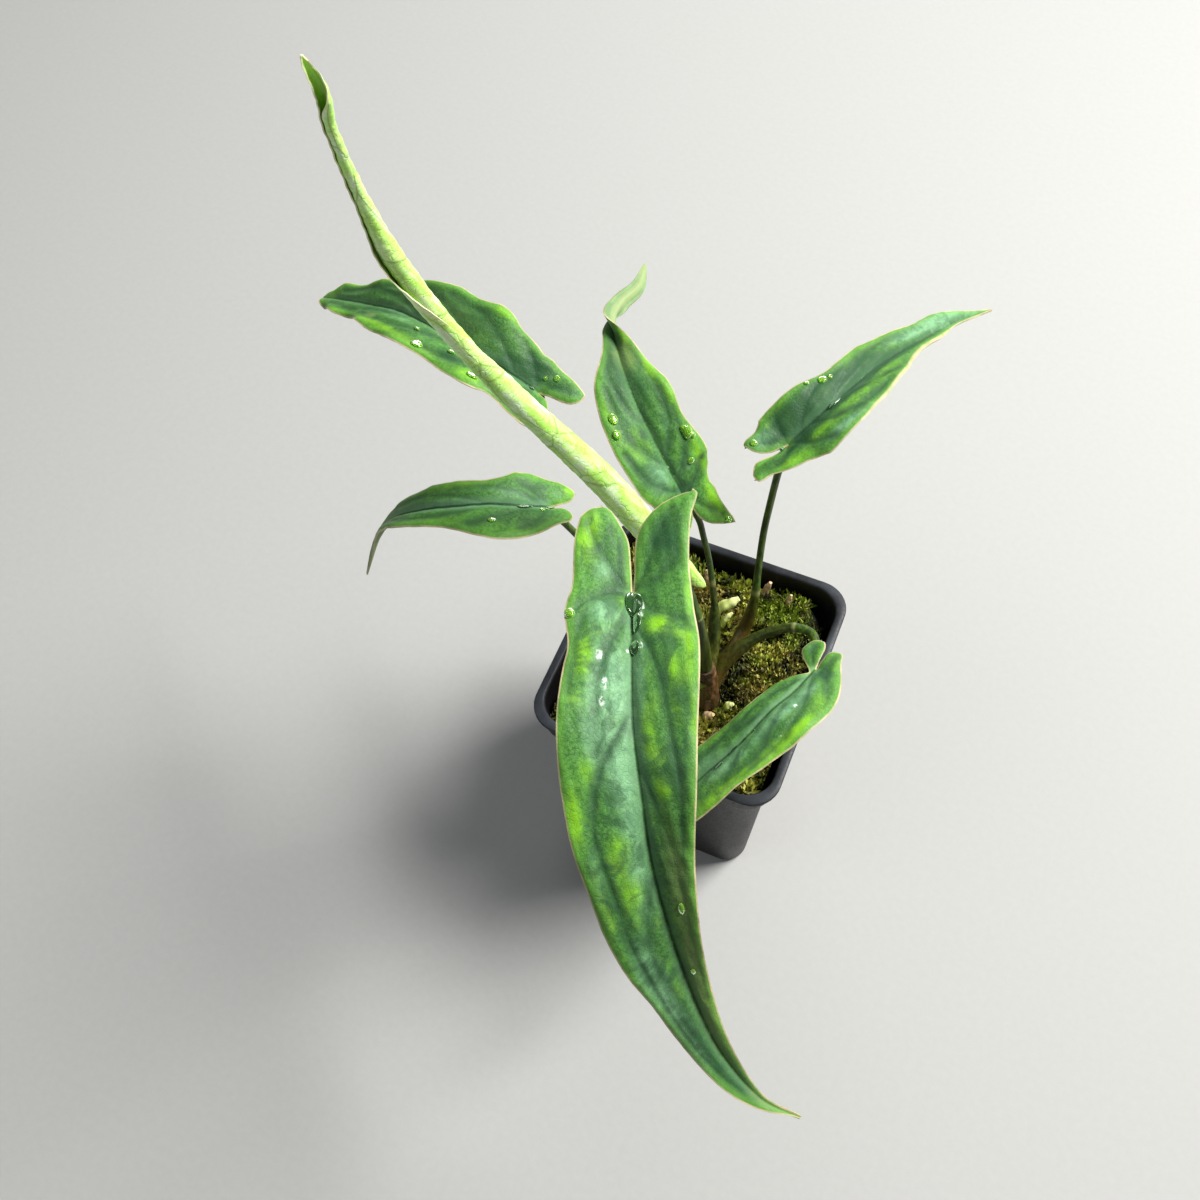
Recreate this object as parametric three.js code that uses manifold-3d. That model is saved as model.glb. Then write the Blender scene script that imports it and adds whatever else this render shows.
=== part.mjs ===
// A young lance leaf syngonium in a square nursery pot: six open arrow-shaped leaves on their stalks,
// a seventh leaf still rolled up, a short stem, damp moss and a thin black pot.
// Millimetres, +Z up. The origin is the middle of the pot's underside, and its sides run along X and Y.
import * as THREE from "three";
import { mergeVertices } from "three/addons/utils/BufferGeometryUtils.js";
import Module from "manifold-3d";

const wasm = await Module();
wasm.setup();

// Clearance between pieces that touch, and the distance at which two corners are one.
const GAP = 0.3;
const WELD = 1e-4;

// The pot: a tapered square cup with a collar under its lip.
const POT_HEIGHT = 88;
const POT_HALF_LIP = 38;
const POT_HALF_COLLAR = 36.6;
const POT_HALF_SHOULDER = 34.2;
const POT_HALF_BASE = 31;
const POT_CORNER = 9;
const POT_WALL = 1.2;
const COLLAR_FOOT = 77;
const SHOULDER_TOP = 74;
const LIP_THICKNESS = 1.6;
const LIP_ROUND = 0.4;
const COLLAR_DRAFT = 0.3;
const CORNER_TAPER = 0.25;
const FOOT_CHAMFER = 1.5;
const DRAIN_RADIUS = 3.2;
const DRAIN_OFFSET = 19;
const DRAIN_SIDES = 12;

// Steps round the pot's rounded square, on each corner and along each side.
const CORNER_STEPS = 5;
const SIDE_STEPS = 4;

// The moss: its mean surface, the height of its clumps, how many rings its top has, and its clumps.
// A clump's height is relief times twice a draw from 0 to 1, less this share, so that some are hollows.
// Its side stands straight up from this far under the pot's shoulder.
const MOSS_TOP = 77.2;
const MOSS_RELIEF = 1.9;
const MOSS_RINGS = 11;
const MOSS_CLUMPS = 46;
const MOSS_CLUMP_RADIUS = 6;
const MOSS_HOLLOWS = 0.8;
const MOSS_EDGE_DEPTH = 1;

// The stem, from its buried foot to its top, as x, y, z and radius.
const STEM = [
  [9, -9, 52, 2.4],
  [9, -9, 62, 3.2],
  [8.8, -9.2, 74, 3.6],
  [8.4, -9.6, 86, 3.4],
  [8, -10, 98, 2.9],
  [7.6, -10.4, 106, 2.5],
];
const STEM_SIDES = 10;
const STEM_STEPS = 10;

// A blade's sheet, and the raised rib under it.
const BLADE_THICKNESS = 0.8;
const RIB_DEPTH = 0.5;
const STALK_SIDES = 8;

// The margins wave in full where the half width is at least this.
// The left margin's waves run ahead of the right one's by this angle in radians.
const WAVE_REACH = 5;
const LEFT_LEAD = 2;

// Each open leaf.
// stations run along the midrib, from where the stalk joins to the tip:
//   x, y, z, roll and fold in degrees, half width to the right and to the left of the way the leaf points.
// lobes run from a lobe's tip back to the stalk: distance behind the stalk, inner edge, outer edge.
// stalk runs from inside the stem to just short of the blade: x, y, z, radius.
const LEAVES = [
  {
    name: "front",
    stations: [
      [-1.5, -37, 190, 0, 12, 14.6, 12.7],
      [4, -50.5, 192, 0, 12, 13.6, 13.8],
      [10, -64.5, 191, -2, 12, 15.2, 13.3],
      [16.5, -76, 186, -6, 14, 15.5, 11.6],
      [23.5, -87, 176, -10, 16, 13.8, 8.8],
      [34, -98, 157, -14, 20, 10.7, 5.3],
      [46, -107, 136, -14, 20, 5.9, 2.9],
      [58.5, -111.5, 121, -10, 20, 3, 1.2],
      [69, -111, 112, 0, 15, 0.6, 0.6],
    ],
    lobes: {
      right: [[19.2, 5.6, 7.6], [17.6, 4.2, 10.4], [15.2, 2.7, 11.8], [11.5, 0.9, 12.5], [6, 0.4, 12.6]],
      left: [[21.8, 11.5, 13.8], [20.8, 9, 14.6], [18.6, 4.8, 14.2], [14, 1.2, 13.2], [9, 0.4, 12.5],
        [4, 0.4, 12.5]],
    },
    lobeLift: 0.2,
    waves: { count: 5, height: 0.7, start: 20 },
    rows: 24,
    columns: 5,
    stalk: [
      [8, -10, 97, 1.9],
      [6, -15, 102, 1.8],
      [2.8, -21.8, 118, 1.6],
      [-0.2, -28.3, 143, 1.4],
      [-1.2, -34.4, 170, 1.3],
    ],
  },
  {
    name: "right_front",
    stations: [
      [36.5, -3.5, 115, -20, -10, 2.5, 7.8],
      [33.5, -13.5, 118, -20, -10, 6.5, 10.5],
      [29.5, -22, 119, -20, -10, 7.4, 10.7],
      [25, -32.5, 116, -18, -8, 8.8, 8.6],
      [18.5, -43, 110, -15, -5, 8.6, 8],
      [11.5, -55, 101, -10, 0, 6.4, 6.4],
      [6.5, -65, 91, -5, 5, 0.6, 0.6],
    ],
    lobes: {
      right: [[8.2, 1.8, 4.2], [6.9, 0.6, 6], [4.2, 0.4, 6.5], [2, 0.4, 4.5]],
      left: [[6.9, 3, 4.4], [6, 1.8, 5.5], [4.8, 0.8, 5.9], [2.5, 0.4, 6.6]],
    },
    lobeLift: 0.4,
    waves: { count: 3, height: 0.5, start: 60 },
    rows: 18,
    columns: 4,
    stalk: [
      [8, -9, 87, 2.6],
      [8.6, -3.8, 90.5, 2.8],
      [12, 1.4, 95.5, 2.4],
      [17.3, 6.1, 101, 1.6],
      [22.4, 8.6, 105, 1.4],
      [26.8, 10, 107, 1.35],
      [31.5, 9.8, 107.5, 1.3],
      [34.2, 6.1, 108, 1.2],
      [35.2, 0.6, 109, 1.1],
    ],
  },
  {
    name: "right_back",
    stations: [
      [12, 31.5, 160, 4, 18, 9.6, 9.7],
      [18, 42.5, 164, 4, 18, 11.4, 9.7],
      [22.5, 54, 163, 4, 18, 9.9, 7.6],
      [27, 66, 160, 2, 18, 7.5, 7],
      [33.5, 80.5, 155, 0, 15, 3.8, 5.4],
      [40, 96, 148, 0, 15, 2.2, 3.6],
      [48, 111.5, 140, 0, 15, 0.5, 0.5],
    ],
    lobes: {
      right: [[12.4, 1.2, 3], [9, 0.4, 4.8], [4.4, 0.4, 7.6]],
      left: [[8.4, 5.6, 7.2], [6.6, 2.6, 7.9], [4, 0.7, 8], [1.8, 0.4, 8.6]],
    },
    lobeLift: 0.15,
    waves: { count: 4, height: 0.6, start: 200 },
    rows: 18,
    columns: 4,
    stalk: [
      [8.6, -9, 81.5, 1.8],
      [9, -4.9, 83, 1.8],
      [9.8, 5, 84, 1.8],
      [11.2, 12.5, 87.5, 2],
      [12.1, 15.8, 93, 1.9],
      [12.2, 18.5, 101, 1.3],
      [11.2, 22.1, 110, 1.05],
      [10.2, 26.6, 123, 1],
      [10.4, 28.8, 136, 1],
      [11, 30.7, 150, 1],
    ],
  },
  {
    name: "middle_back",
    stations: [
      [-8, 12.5, 150, 0, 8, 9, 8],
      [-13, 14.2, 158, 0, 10, 11.6, 11],
      [-19.5, 18, 165, 0, 10, 10, 11.5],
      [-26.5, 23.5, 170, 0, 10, 9.2, 9.9],
      [-34.5, 33, 172, 0, 12, 5.3, 5.2],
      [-41, 44, 171, 30, 12, 1.6, 1.6],
      [-42, 52.5, 169, 110, 10, 1.9, 1.9],
      [-41, 61, 167, 150, 10, 1.7, 1.7],
      [-42.5, 69.5, 166, 150, 10, 0.5, 0.5],
    ],
    lobes: {
      right: [[13.4, 6.4, 7.8], [11.8, 4.2, 8.4], [8.9, 1.7, 8.2], [6, 0.4, 8], [3, 0.4, 8.4]],
      left: [[11, 5, 7], [9, 2.4, 8.2], [6, 0.6, 8.4], [3, 0.4, 8.2]],
    },
    lobeLift: 0.2,
    waves: { count: 3, height: 0.5, start: 100 },
    rows: 24,
    columns: 4,
    stalk: [
      [8, -9.5, 93, 1.8],
      [6.4, -0.2, 98.5, 1.8],
      [4.8, 4.1, 105, 1.75],
      [3.3, 7.2, 112, 1],
      [-0.2, 11.5, 124, 0.85],
      [-3, 13.2, 134, 0.85],
      [-4.8, 13.3, 142, 0.85],
    ],
  },
  {
    name: "back_left",
    stations: [
      [-41.5, 3.5, 190, 0, 16, 8.4, 11.5],
      [-52, 4, 195, 0, 18, 11.3, 9.6],
      [-65.5, 6.5, 196, 0, 18, 12.3, 10],
      [-81.5, 12, 192, 2, 18, 10.8, 10],
      [-94.5, 15.5, 186, 3, 16, 7.8, 6.8],
      [-106, 18.5, 180, 2, 12, 5.2, 3.6],
      [-113, 20.3, 176, 0, 10, 1.6, 1.2],
    ],
    lobes: {
      right: [[9.1, 3.8, 5.4], [8.3, 2.4, 6.6], [6.4, 0.5, 7.6], [3, 0.4, 8]],
      left: [[4.5, 6.5, 9.5], [2.5, 2, 11.2]],
    },
    lobeLift: 0.15,
    waves: { count: 5, height: 0.9, start: 0 },
    rows: 18,
    columns: 4,
    stalk: [
      [8, -10, 103, 1.7],
      [5.1, -6.5, 105, 1.6],
      [-3.5, 1.7, 117, 1.4],
      [-17, 6.1, 137, 1.2],
      [-29.4, 4.9, 156, 1.1],
      [-39.4, 3.9, 176, 1],
    ],
  },
  {
    name: "left",
    stations: [
      [-33, -13, 170, 0, 12, 8, 6.5],
      [-38.5, -17.5, 174, 0, 12, 8.6, 9.4],
      [-45, -21, 176, 0, 12, 6.8, 9.9],
      [-52.5, -24, 175, 0, 12, 6.5, 7],
      [-60.5, -25.5, 171, 0, 12, 6, 5.4],
      [-70.5, -26, 162, -8, 12, 4, 3.6],
      [-77.5, -27, 150, -12, 12, 2.4, 2.2],
      [-82.5, -31, 134, -12, 10, 0.5, 0.5],
    ],
    lobes: {
      right: [[6.9, 2.2, 3.6], [6, 1.2, 4.6], [4.6, 0.5, 5.6], [2.4, 0.4, 6.8]],
      left: [[4.4, 3, 4.6], [3.6, 1.6, 5.3], [2, 0.5, 5.9]],
    },
    lobeLift: 0.15,
    waves: { count: 3, height: 0.4, start: 45 },
    rows: 18,
    columns: 4,
    stalk: [
      [8, -10, 95, 1.5],
      [3.6, -9.4, 99, 1.4],
      [-8.7, -7.7, 118, 1.2],
      [-20.2, -9.8, 142, 1],
      [-28, -11.1, 157, 0.9],
    ],
  },
];

// The young leaf, rolled into a scroll: x, y, z, outer radius, turns of the sheet,
// and the angle of its outer margin in degrees, from the front round to the right.
const SCROLL = [
  [1.7, -9.8, 153, 3.3, 1.4, 170],
  [-8.5, -9.8, 167, 3.85, 1.5, 160],
  [-20.2, -11.8, 188, 3.75, 1.5, 140],
  [-35.3, -17.1, 216, 2.8, 1.4, 95],
  [-45.9, -19.4, 236, 2.35, 1.35, 25],
  [-51.7, -22.2, 254, 2.3, 1.2, -70],
  [-54.1, -23.7, 270, 1.55, 0.95, -88],
  [-54.2, -25.7, 285, 1.15, 0.8, -82],
  [-52.7, -27.1, 293, 1.15, 0.68, -68],
  [-51.5, -29.0, 301, 0.85, 0.42, -60],
];
const SCROLL_FRONT = [0.3, -0.6, 0.74];
const SCROLL_THICKNESS = 0.6;
const SCROLL_PITCH = 0.95;
const SCROLL_LOBE = 4.5;
const SCROLL_ROWS = 26;
const SCROLL_COLUMNS = 22;

// With fewer turns than the first the sheet lies open, and with more than the second it is fully wound.
const OPEN_TURNS = 0.6;
const WOUND_TURNS = 1.1;

// Half way across the sheet. The tip is one point there.
const MIDRIB = 0.5;

const SCROLL_STALK_STEPS = 8;
const SCROLL_STALK = [
  [7.7, -10.3, 104, 2],
  [6.9, -10.4, 116, 1.8],
  [5.2, -10.6, 130, 1.6],
  [3, -10.6, 142, 1.3],
];

const COLOURS = {
  pot: 0x2a2b2e,
  moss: 0x6d7a2c,
  stem: 0x6b4a35,
  stalk: 0x4d5a26,
  blade: 0x4f7f3f,
  young: 0xa9c965,
};

// Shared curves and frames

// A Catmull-Rom curve through rows of numbers, at t from 0 to the last row's number.
function along(rows, t) {
  const last = rows.length - 1;
  const i = Math.min(Math.max(Math.floor(t), 0), last - 1);
  const x = Math.min(Math.max(t, 0), last) - i;
  const b = rows[i];
  const c = rows[i + 1];
  const a = rows[i - 1] ?? b.map((value, k) => 2 * value - c[k]);
  const d = rows[i + 2] ?? c.map((value, k) => 2 * value - b[k]);
  return b.map(
    (value, k) =>
      value +
      0.5 * x * (c[k] - a[k] + x * (2 * a[k] - 5 * value + 4 * c[k] - d[k] +
        x * (3 * (value - c[k]) + d[k] - a[k]))),
  );
}

const point = (row) => new THREE.Vector3(row[0], row[1], row[2]);

// The way a curve points at t.
function heading(rows, t) {
  const step = 0.01;
  const low = Math.max(t - step, 0);
  const high = Math.min(t + step, rows.length - 1);
  return point(along(rows, high)).sub(point(along(rows, low))).normalize();
}

// Right-hand side and upper normal of a strip that points along `ahead`, rolled by an angle in degrees.
function crossFrame(ahead, up, roll) {
  const side = new THREE.Vector3().crossVectors(ahead, up).normalize();
  const normal = new THREE.Vector3().crossVectors(side, ahead);
  side.applyAxisAngle(ahead, -THREE.MathUtils.degToRad(roll));
  normal.applyAxisAngle(ahead, -THREE.MathUtils.degToRad(roll));
  return { side, normal };
}

// Bodies from triangles

class Skin {
  constructor() {
    this.values = [];
  }

  // A triangle with two corners in one place is left out.
  triangle(a, b, c) {
    const short = Math.min(a.distanceTo(b), b.distanceTo(c), c.distanceTo(a));
    if (short < WELD) return;
    for (const p of [a, b, c]) this.values.push(p.x, p.y, p.z);
  }

  // Split along a to c.
  quad(a, b, c, d, turned = false) {
    if (turned) {
      this.triangle(a, c, b);
      this.triangle(a, d, c);
    } else {
      this.triangle(a, b, c);
      this.triangle(a, c, d);
    }
  }

  geometry() {
    const made = new THREE.BufferGeometry();
    made.setAttribute("position", new THREE.Float32BufferAttribute(this.values, 3));
    return mergeVertices(made, WELD);
  }
}

// A body through rings of equal length, each counter-clockwise seen from the end of the travel.
function loft(rings) {
  const skin = new Skin();
  const count = rings[0].length;
  rings.slice(1).forEach((ring, k) => {
    for (let i = 0; i < count; i++) {
      const next = (i + 1) % count;
      skin.quad(rings[k][i], rings[k][next], ring[next], ring[i]);
    }
  });
  for (const [ring, turned] of [[rings[0], true], [rings.at(-1), false]]) {
    const middle = ring.reduce((sum, p) => sum.add(p), new THREE.Vector3()).divideScalar(count);
    for (let i = 0; i < count; i++) {
      const next = (i + 1) % count;
      if (turned) skin.triangle(middle, ring[next], ring[i]);
      else skin.triangle(middle, ring[i], ring[next]);
    }
  }
  return skin.geometry();
}

// A round rod through rows of x, y, z and radius. Its frames are carried along without twist.
function rod(rows, sides, steps) {
  const rings = [];
  let side = new THREE.Vector3(1, 0, 0);
  for (let k = 0; k <= steps; k++) {
    const t = (k / steps) * (rows.length - 1);
    const row = along(rows, t);
    const ahead = heading(rows, t);
    side = side.clone().addScaledVector(ahead, -side.dot(ahead)).normalize();
    const other = new THREE.Vector3().crossVectors(ahead, side);
    rings.push(
      Array.from({ length: sides }, (_, i) => {
        const angle = (i / sides) * 2 * Math.PI;
        return point(row)
          .addScaledVector(side, row[3] * Math.cos(angle))
          .addScaledVector(other, row[3] * Math.sin(angle));
      }),
    );
  }
  return rings;
}

// Solids for cutting

function solid(geometry) {
  return new wasm.Manifold(
    new wasm.Mesh({
      numProp: 3,
      vertProperties: geometry.attributes.position.array,
      triVerts: new Uint32Array(geometry.index.array),
    }),
  );
}

function geometryOf(body) {
  const mesh = body.getMesh();
  const made = new THREE.BufferGeometry();
  made.setAttribute("position", new THREE.BufferAttribute(mesh.vertProperties, 3));
  made.setIndex(new THREE.BufferAttribute(mesh.triVerts, 1));
  return made;
}

// Pot and moss

// A rounded square at height z, counter-clockwise from above.
function roundedSquare(half, corner, z) {
  const ring = [];
  const straight = half - corner;
  for (let quarter = 0; quarter < 4; quarter++) {
    const turn = (quarter * Math.PI) / 2;
    const place = (x, y) =>
      ring.push(new THREE.Vector3(x, y, z).applyAxisAngle(new THREE.Vector3(0, 0, 1), turn));
    for (let i = 0; i < SIDE_STEPS; i++) place(half, -straight + (2 * straight * i) / SIDE_STEPS);
    for (let i = 0; i < CORNER_STEPS; i++) {
      const angle = (i / CORNER_STEPS) * (Math.PI / 2);
      place(straight + corner * Math.cos(angle), straight + corner * Math.sin(angle));
    }
  }
  return ring;
}

// The cup's profile as half width and height. Inside, it is a wall's thickness further in.
function potOuterProfile() {
  return [
    [POT_HALF_BASE - FOOT_CHAMFER, 0],
    [POT_HALF_BASE, FOOT_CHAMFER],
    [POT_HALF_SHOULDER, SHOULDER_TOP],
    [POT_HALF_COLLAR - COLLAR_DRAFT, COLLAR_FOOT],
    [POT_HALF_COLLAR, POT_HEIGHT - LIP_THICKNESS],
    [POT_HALF_LIP - LIP_ROUND, POT_HEIGHT - LIP_THICKNESS],
    [POT_HALF_LIP, POT_HEIGHT - LIP_THICKNESS / 2],
    [POT_HALF_LIP - LIP_ROUND, POT_HEIGHT],
  ];
}

function potInnerProfile() {
  return [
    [POT_HALF_COLLAR - POT_WALL, POT_HEIGHT],
    [POT_HALF_COLLAR - POT_WALL - COLLAR_DRAFT, POT_HEIGHT - LIP_THICKNESS],
    [POT_HALF_COLLAR - POT_WALL - 2 * COLLAR_DRAFT, COLLAR_FOOT],
    [POT_HALF_SHOULDER - POT_WALL, SHOULDER_TOP],
    [POT_HALF_BASE - POT_WALL, FOOT_CHAMFER + POT_WALL],
    [POT_HALF_BASE - POT_WALL - FOOT_CHAMFER, POT_WALL],
  ];
}

const cornerFor = (half) => POT_CORNER - CORNER_TAPER * (POT_HALF_LIP - half);

function potGeometry() {
  const rings = [...potOuterProfile(), ...potInnerProfile()].map(([half, z]) =>
    roundedSquare(half, cornerFor(half), z),
  );
  const drain = [-1, POT_WALL + 1].map((z) =>
    Array.from({ length: DRAIN_SIDES }, (_, i) => {
      const angle = (i / DRAIN_SIDES) * 2 * Math.PI;
      return new THREE.Vector3(DRAIN_RADIUS * Math.cos(angle), DRAIN_RADIUS * Math.sin(angle), z);
    }),
  );
  let cup = solid(loft(rings));
  for (const [x, y] of [[1, 1], [-1, 1], [-1, -1], [1, -1]]) {
    const cutter = loft(drain).translate(x * DRAIN_OFFSET, y * DRAIN_OFFSET, 0);
    cup = cup.subtract(solid(cutter));
  }
  return geometryOf(cup);
}

// A repeatable draw from 0 to 1.
function drawer(seed) {
  let state = seed;
  return () => {
    state = (state * 1664525 + 1013904223) % 4294967296;
    return state / 4294967296;
  };
}

// The moss fills the pot up to its shoulder, a gap inside its walls, and its top is clumpy.
function mossGeometry(fatStem) {
  const draw = drawer(7);
  const clumps = Array.from({ length: MOSS_CLUMPS }, () => ({
    x: (2 * draw() - 1) * POT_HALF_SHOULDER,
    y: (2 * draw() - 1) * POT_HALF_SHOULDER,
    height: (2 * draw() - MOSS_HOLLOWS) * MOSS_RELIEF,
  }));
  const heightAt = (x, y) =>
    MOSS_TOP +
    clumps.reduce((sum, c) => {
      const far = Math.hypot(x - c.x, y - c.y) / MOSS_CLUMP_RADIUS;
      return sum + c.height * Math.exp(-far * far);
    }, 0);
  const [shoulder, chamfer, floor] = potInnerProfile().slice(-3);
  const level = ([half, z], rise) => roundedSquare(half - GAP, cornerFor(half), z + rise);
  const edge = level(shoulder, -MOSS_EDGE_DEPTH);
  const rings = [level(floor, GAP), level(chamfer, 0), edge];
  for (let k = 0; k < MOSS_RINGS; k++) {
    const share = 1 - k / MOSS_RINGS;
    rings.push(
      edge.map((p) => new THREE.Vector3(p.x * share, p.y * share, heightAt(p.x * share, p.y * share))),
    );
  }
  return geometryOf(solid(loft(rings)).subtract(fatStem));
}

// Leaves

// The place on an open blade's middle surface, and the normal there.
// t runs along the midrib. Behind the stalk t is 0 and `back` is the distance behind it.
// The margins wave most where the blade is wide, and not at all near its tip.
function bladePoint(leaf, t, back, across, share) {
  const row = along(leaf.stations, t);
  const ahead = heading(leaf.stations, t);
  const { side, normal } = crossFrame(ahead, new THREE.Vector3(0, 0, 1), row[3]);
  const fold = THREE.MathUtils.degToRad(row[4]);
  const turn = t / (leaf.stations.length - 1);
  const ripple = Math.sin(2 * Math.PI * leaf.waves.count * turn
    + THREE.MathUtils.degToRad(leaf.waves.start) + (across > 0 ? 0 : LEFT_LEAD));
  const lift = Math.abs(across) * Math.sin(fold) + back * leaf.lobeLift
    + leaf.waves.height * ripple * share * Math.min(share, Math.abs(across) / WAVE_REACH);
  const place = point(row)
    .addScaledVector(ahead, -back)
    .addScaledVector(side, across * Math.cos(fold))
    .addScaledVector(normal, lift);
  return { place, normal };
}

function bladeGeometry(leaf) {
  const skin = new Skin();
  const last = leaf.stations.length - 1;
  for (const sign of [1, -1]) {
    const widthAt = (t) => along(leaf.stations, t)[sign > 0 ? 5 : 6];
    const lobe = sign > 0 ? leaf.lobes.right : leaf.lobes.left;
    const rows = lobe.map(([back, inner, outer]) => ({ t: 0, back, inner, outer }));
    for (let k = 0; k <= leaf.rows; k++) {
      const t = (k / leaf.rows) * last;
      rows.push({ t, back: 0, inner: 0, outer: widthAt(t) });
    }
    const grid = rows.map(({ t, back, inner, outer }) =>
      Array.from({ length: leaf.columns + 1 }, (_, c) => {
        const share = c / leaf.columns;
        const across = inner + (outer - inner) * share;
        const { place, normal } = bladePoint(leaf, t, back, sign * across, share);
        const onRib = c === 0 && back === 0;
        const rib = onRib ? RIB_DEPTH * (1 - t / last) : 0;
        return {
          top: place.clone().addScaledVector(normal, BLADE_THICKNESS / 2),
          under: place.clone().addScaledVector(normal, -BLADE_THICKNESS / 2 - rib),
        };
      }),
    );
    const turned = sign < 0;
    const end = leaf.columns;
    grid.slice(1).forEach((row, r) => {
      const before = grid[r];
      for (let c = 0; c < end; c++) {
        skin.quad(before[c].top, before[c + 1].top, row[c + 1].top, row[c].top, turned);
        skin.quad(before[c].under, before[c + 1].under, row[c + 1].under, row[c].under, !turned);
      }
      skin.quad(before[end].under, row[end].under, row[end].top, before[end].top, turned);
      if (rows[r].back > 0) {
        skin.quad(before[0].under, row[0].under, row[0].top, before[0].top, !turned);
      }
    });
    for (const [row, back] of [[grid[0], turned], [grid.at(-1), !turned]]) {
      for (let c = 0; c < end; c++) {
        skin.quad(row[c].under, row[c + 1].under, row[c + 1].top, row[c].top, back);
      }
    }
  }
  return skin.geometry();
}

// A stalk's last ring is slid along the stalk onto a plane just under what it carries.
function stalkGeometry(rows, end, normal, steps, fatStem) {
  const whole = [...rows, [end.x, end.y, end.z, rows.at(-1)[3]]];
  const rings = rod(whole, STALK_SIDES, steps);
  const ahead = heading(whole, whole.length - 1);
  for (const p of rings.at(-1)) {
    const short = end.clone().sub(p).dot(normal) / ahead.dot(normal);
    p.addScaledVector(ahead, short);
  }
  return geometryOf(solid(loft(rings)).subtract(fatStem));
}

function openLeafStalk(leaf, fatStem) {
  const { place, normal } = bladePoint(leaf, 0, 0, 0, 0);
  const end = place.addScaledVector(normal, -BLADE_THICKNESS / 2 - RIB_DEPTH - GAP);
  return stalkGeometry(leaf.stalk, end, normal, 2 * leaf.stalk.length, fatStem);
}

// The scroll: one sheet wound inwards from its outer margin, its two basal lobes longer than its midrib.
// Towards the tip the turns open out, and the sheet no longer passes under itself.
function scrollPoint(t, share) {
  const row = along(SCROLL, t);
  const ahead = heading(SCROLL, t);
  const { side, normal } = crossFrame(ahead, new THREE.Vector3(...SCROLL_FRONT), 0);
  const [radius, turns, margin] = row.slice(3);
  const angle = THREE.MathUtils.degToRad(margin) - 2 * Math.PI * turns * share;
  const out = side.multiplyScalar(Math.sin(angle)).addScaledVector(normal, Math.cos(angle));
  const near = Math.max(0, 1 - t);
  const lobe = SCROLL_LOBE * near * Math.sin(2 * Math.PI * share) ** 4;
  const place = point(row).addScaledVector(ahead, -lobe);
  const wound = THREE.MathUtils.smoothstep(turns, OPEN_TURNS, WOUND_TURNS);
  return { place, out, radius: radius - SCROLL_PITCH * wound * turns * share };
}

function scrollGeometry() {
  const skin = new Skin();
  const last = SCROLL.length - 1;
  const grid = Array.from({ length: SCROLL_ROWS + 1 }, (_, r) =>
    Array.from({ length: SCROLL_COLUMNS + 1 }, (_, c) => {
      const share = r < SCROLL_ROWS ? c / SCROLL_COLUMNS : MIDRIB;
      const { place, out, radius } = scrollPoint((r / SCROLL_ROWS) * last, share);
      return {
        outer: place.clone().addScaledVector(out, radius),
        inner: place.clone().addScaledVector(out, radius - SCROLL_THICKNESS),
      };
    }),
  );
  grid.slice(1).forEach((row, r) => {
    const before = grid[r];
    for (let c = 0; c < SCROLL_COLUMNS; c++) {
      skin.quad(before[c].outer, before[c + 1].outer, row[c + 1].outer, row[c].outer, true);
      skin.quad(before[c].inner, before[c + 1].inner, row[c + 1].inner, row[c].inner);
    }
    skin.quad(before[0].inner, row[0].inner, row[0].outer, before[0].outer);
    skin.quad(
      before.at(-1).inner, row.at(-1).inner, row.at(-1).outer, before.at(-1).outer, true);
  });
  for (let c = 0; c < SCROLL_COLUMNS; c++) {
    skin.quad(grid[0][c].inner, grid[0][c + 1].inner, grid[0][c + 1].outer, grid[0][c].outer, true);
  }
  return skin.geometry();
}

// The rolled leaf's stalk ends just under the foot of its midrib, between the two lobes.
function scrollStalk(fatStem) {
  const { place, out, radius } = scrollPoint(0, MIDRIB);
  const ahead = heading(SCROLL, 0);
  const end = place.addScaledVector(out, radius - SCROLL_THICKNESS / 2).addScaledVector(ahead, -GAP);
  return stalkGeometry(SCROLL_STALK, end, ahead, SCROLL_STALK_STEPS, fatStem);
}

// The plant

const plant = new THREE.Group();

function add(name, geometry, colour, roughness) {
  const material = new THREE.MeshStandardMaterial({ color: colour, roughness, metalness: 0 });
  const mesh = new THREE.Mesh(geometry, material);
  mesh.name = name;
  plant.add(mesh);
}

const fatStem = solid(
  loft(rod(
    STEM.map(([x, y, z, radius], k) => [
      x, y, z + (k === 0 ? -GAP : 0) + (k === STEM.length - 1 ? GAP : 0), radius + GAP,
    ]),
    STEM_SIDES,
    STEM_STEPS,
  )),
);

add("pot", potGeometry(), COLOURS.pot, 0.6);
add("moss", mossGeometry(fatStem), COLOURS.moss, 0.95);
add("stem", loft(rod(STEM, STEM_SIDES, STEM_STEPS)), COLOURS.stem, 0.6);
for (const leaf of LEAVES) {
  add("petiole_" + leaf.name, openLeafStalk(leaf, fatStem), COLOURS.stalk, 0.45);
  add("blade_" + leaf.name, bladeGeometry(leaf), COLOURS.blade, 0.5);
}
add("petiole_new_leaf", scrollStalk(fatStem), COLOURS.stalk, 0.45);
add("new_leaf_rolled", scrollGeometry(), COLOURS.young, 0.4);

export default plant;
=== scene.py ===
# %% [markdown] # A young arrow-leaf plant in a square nursery pot The real thing is a small climbing
# plant: six open leaves on thin stalks, a seventh leaf still rolled up, a short stem, damp long-fibred
# moss and a thin black plastic pot. A plain CAD model of it exists. Here each piece gets its finish: a
# finer mesh that keeps the CAD piece's form, and a material made only of nodes.

import math
import random

import bpy
import numpy as np
from mathutils import Matrix, Vector


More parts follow.
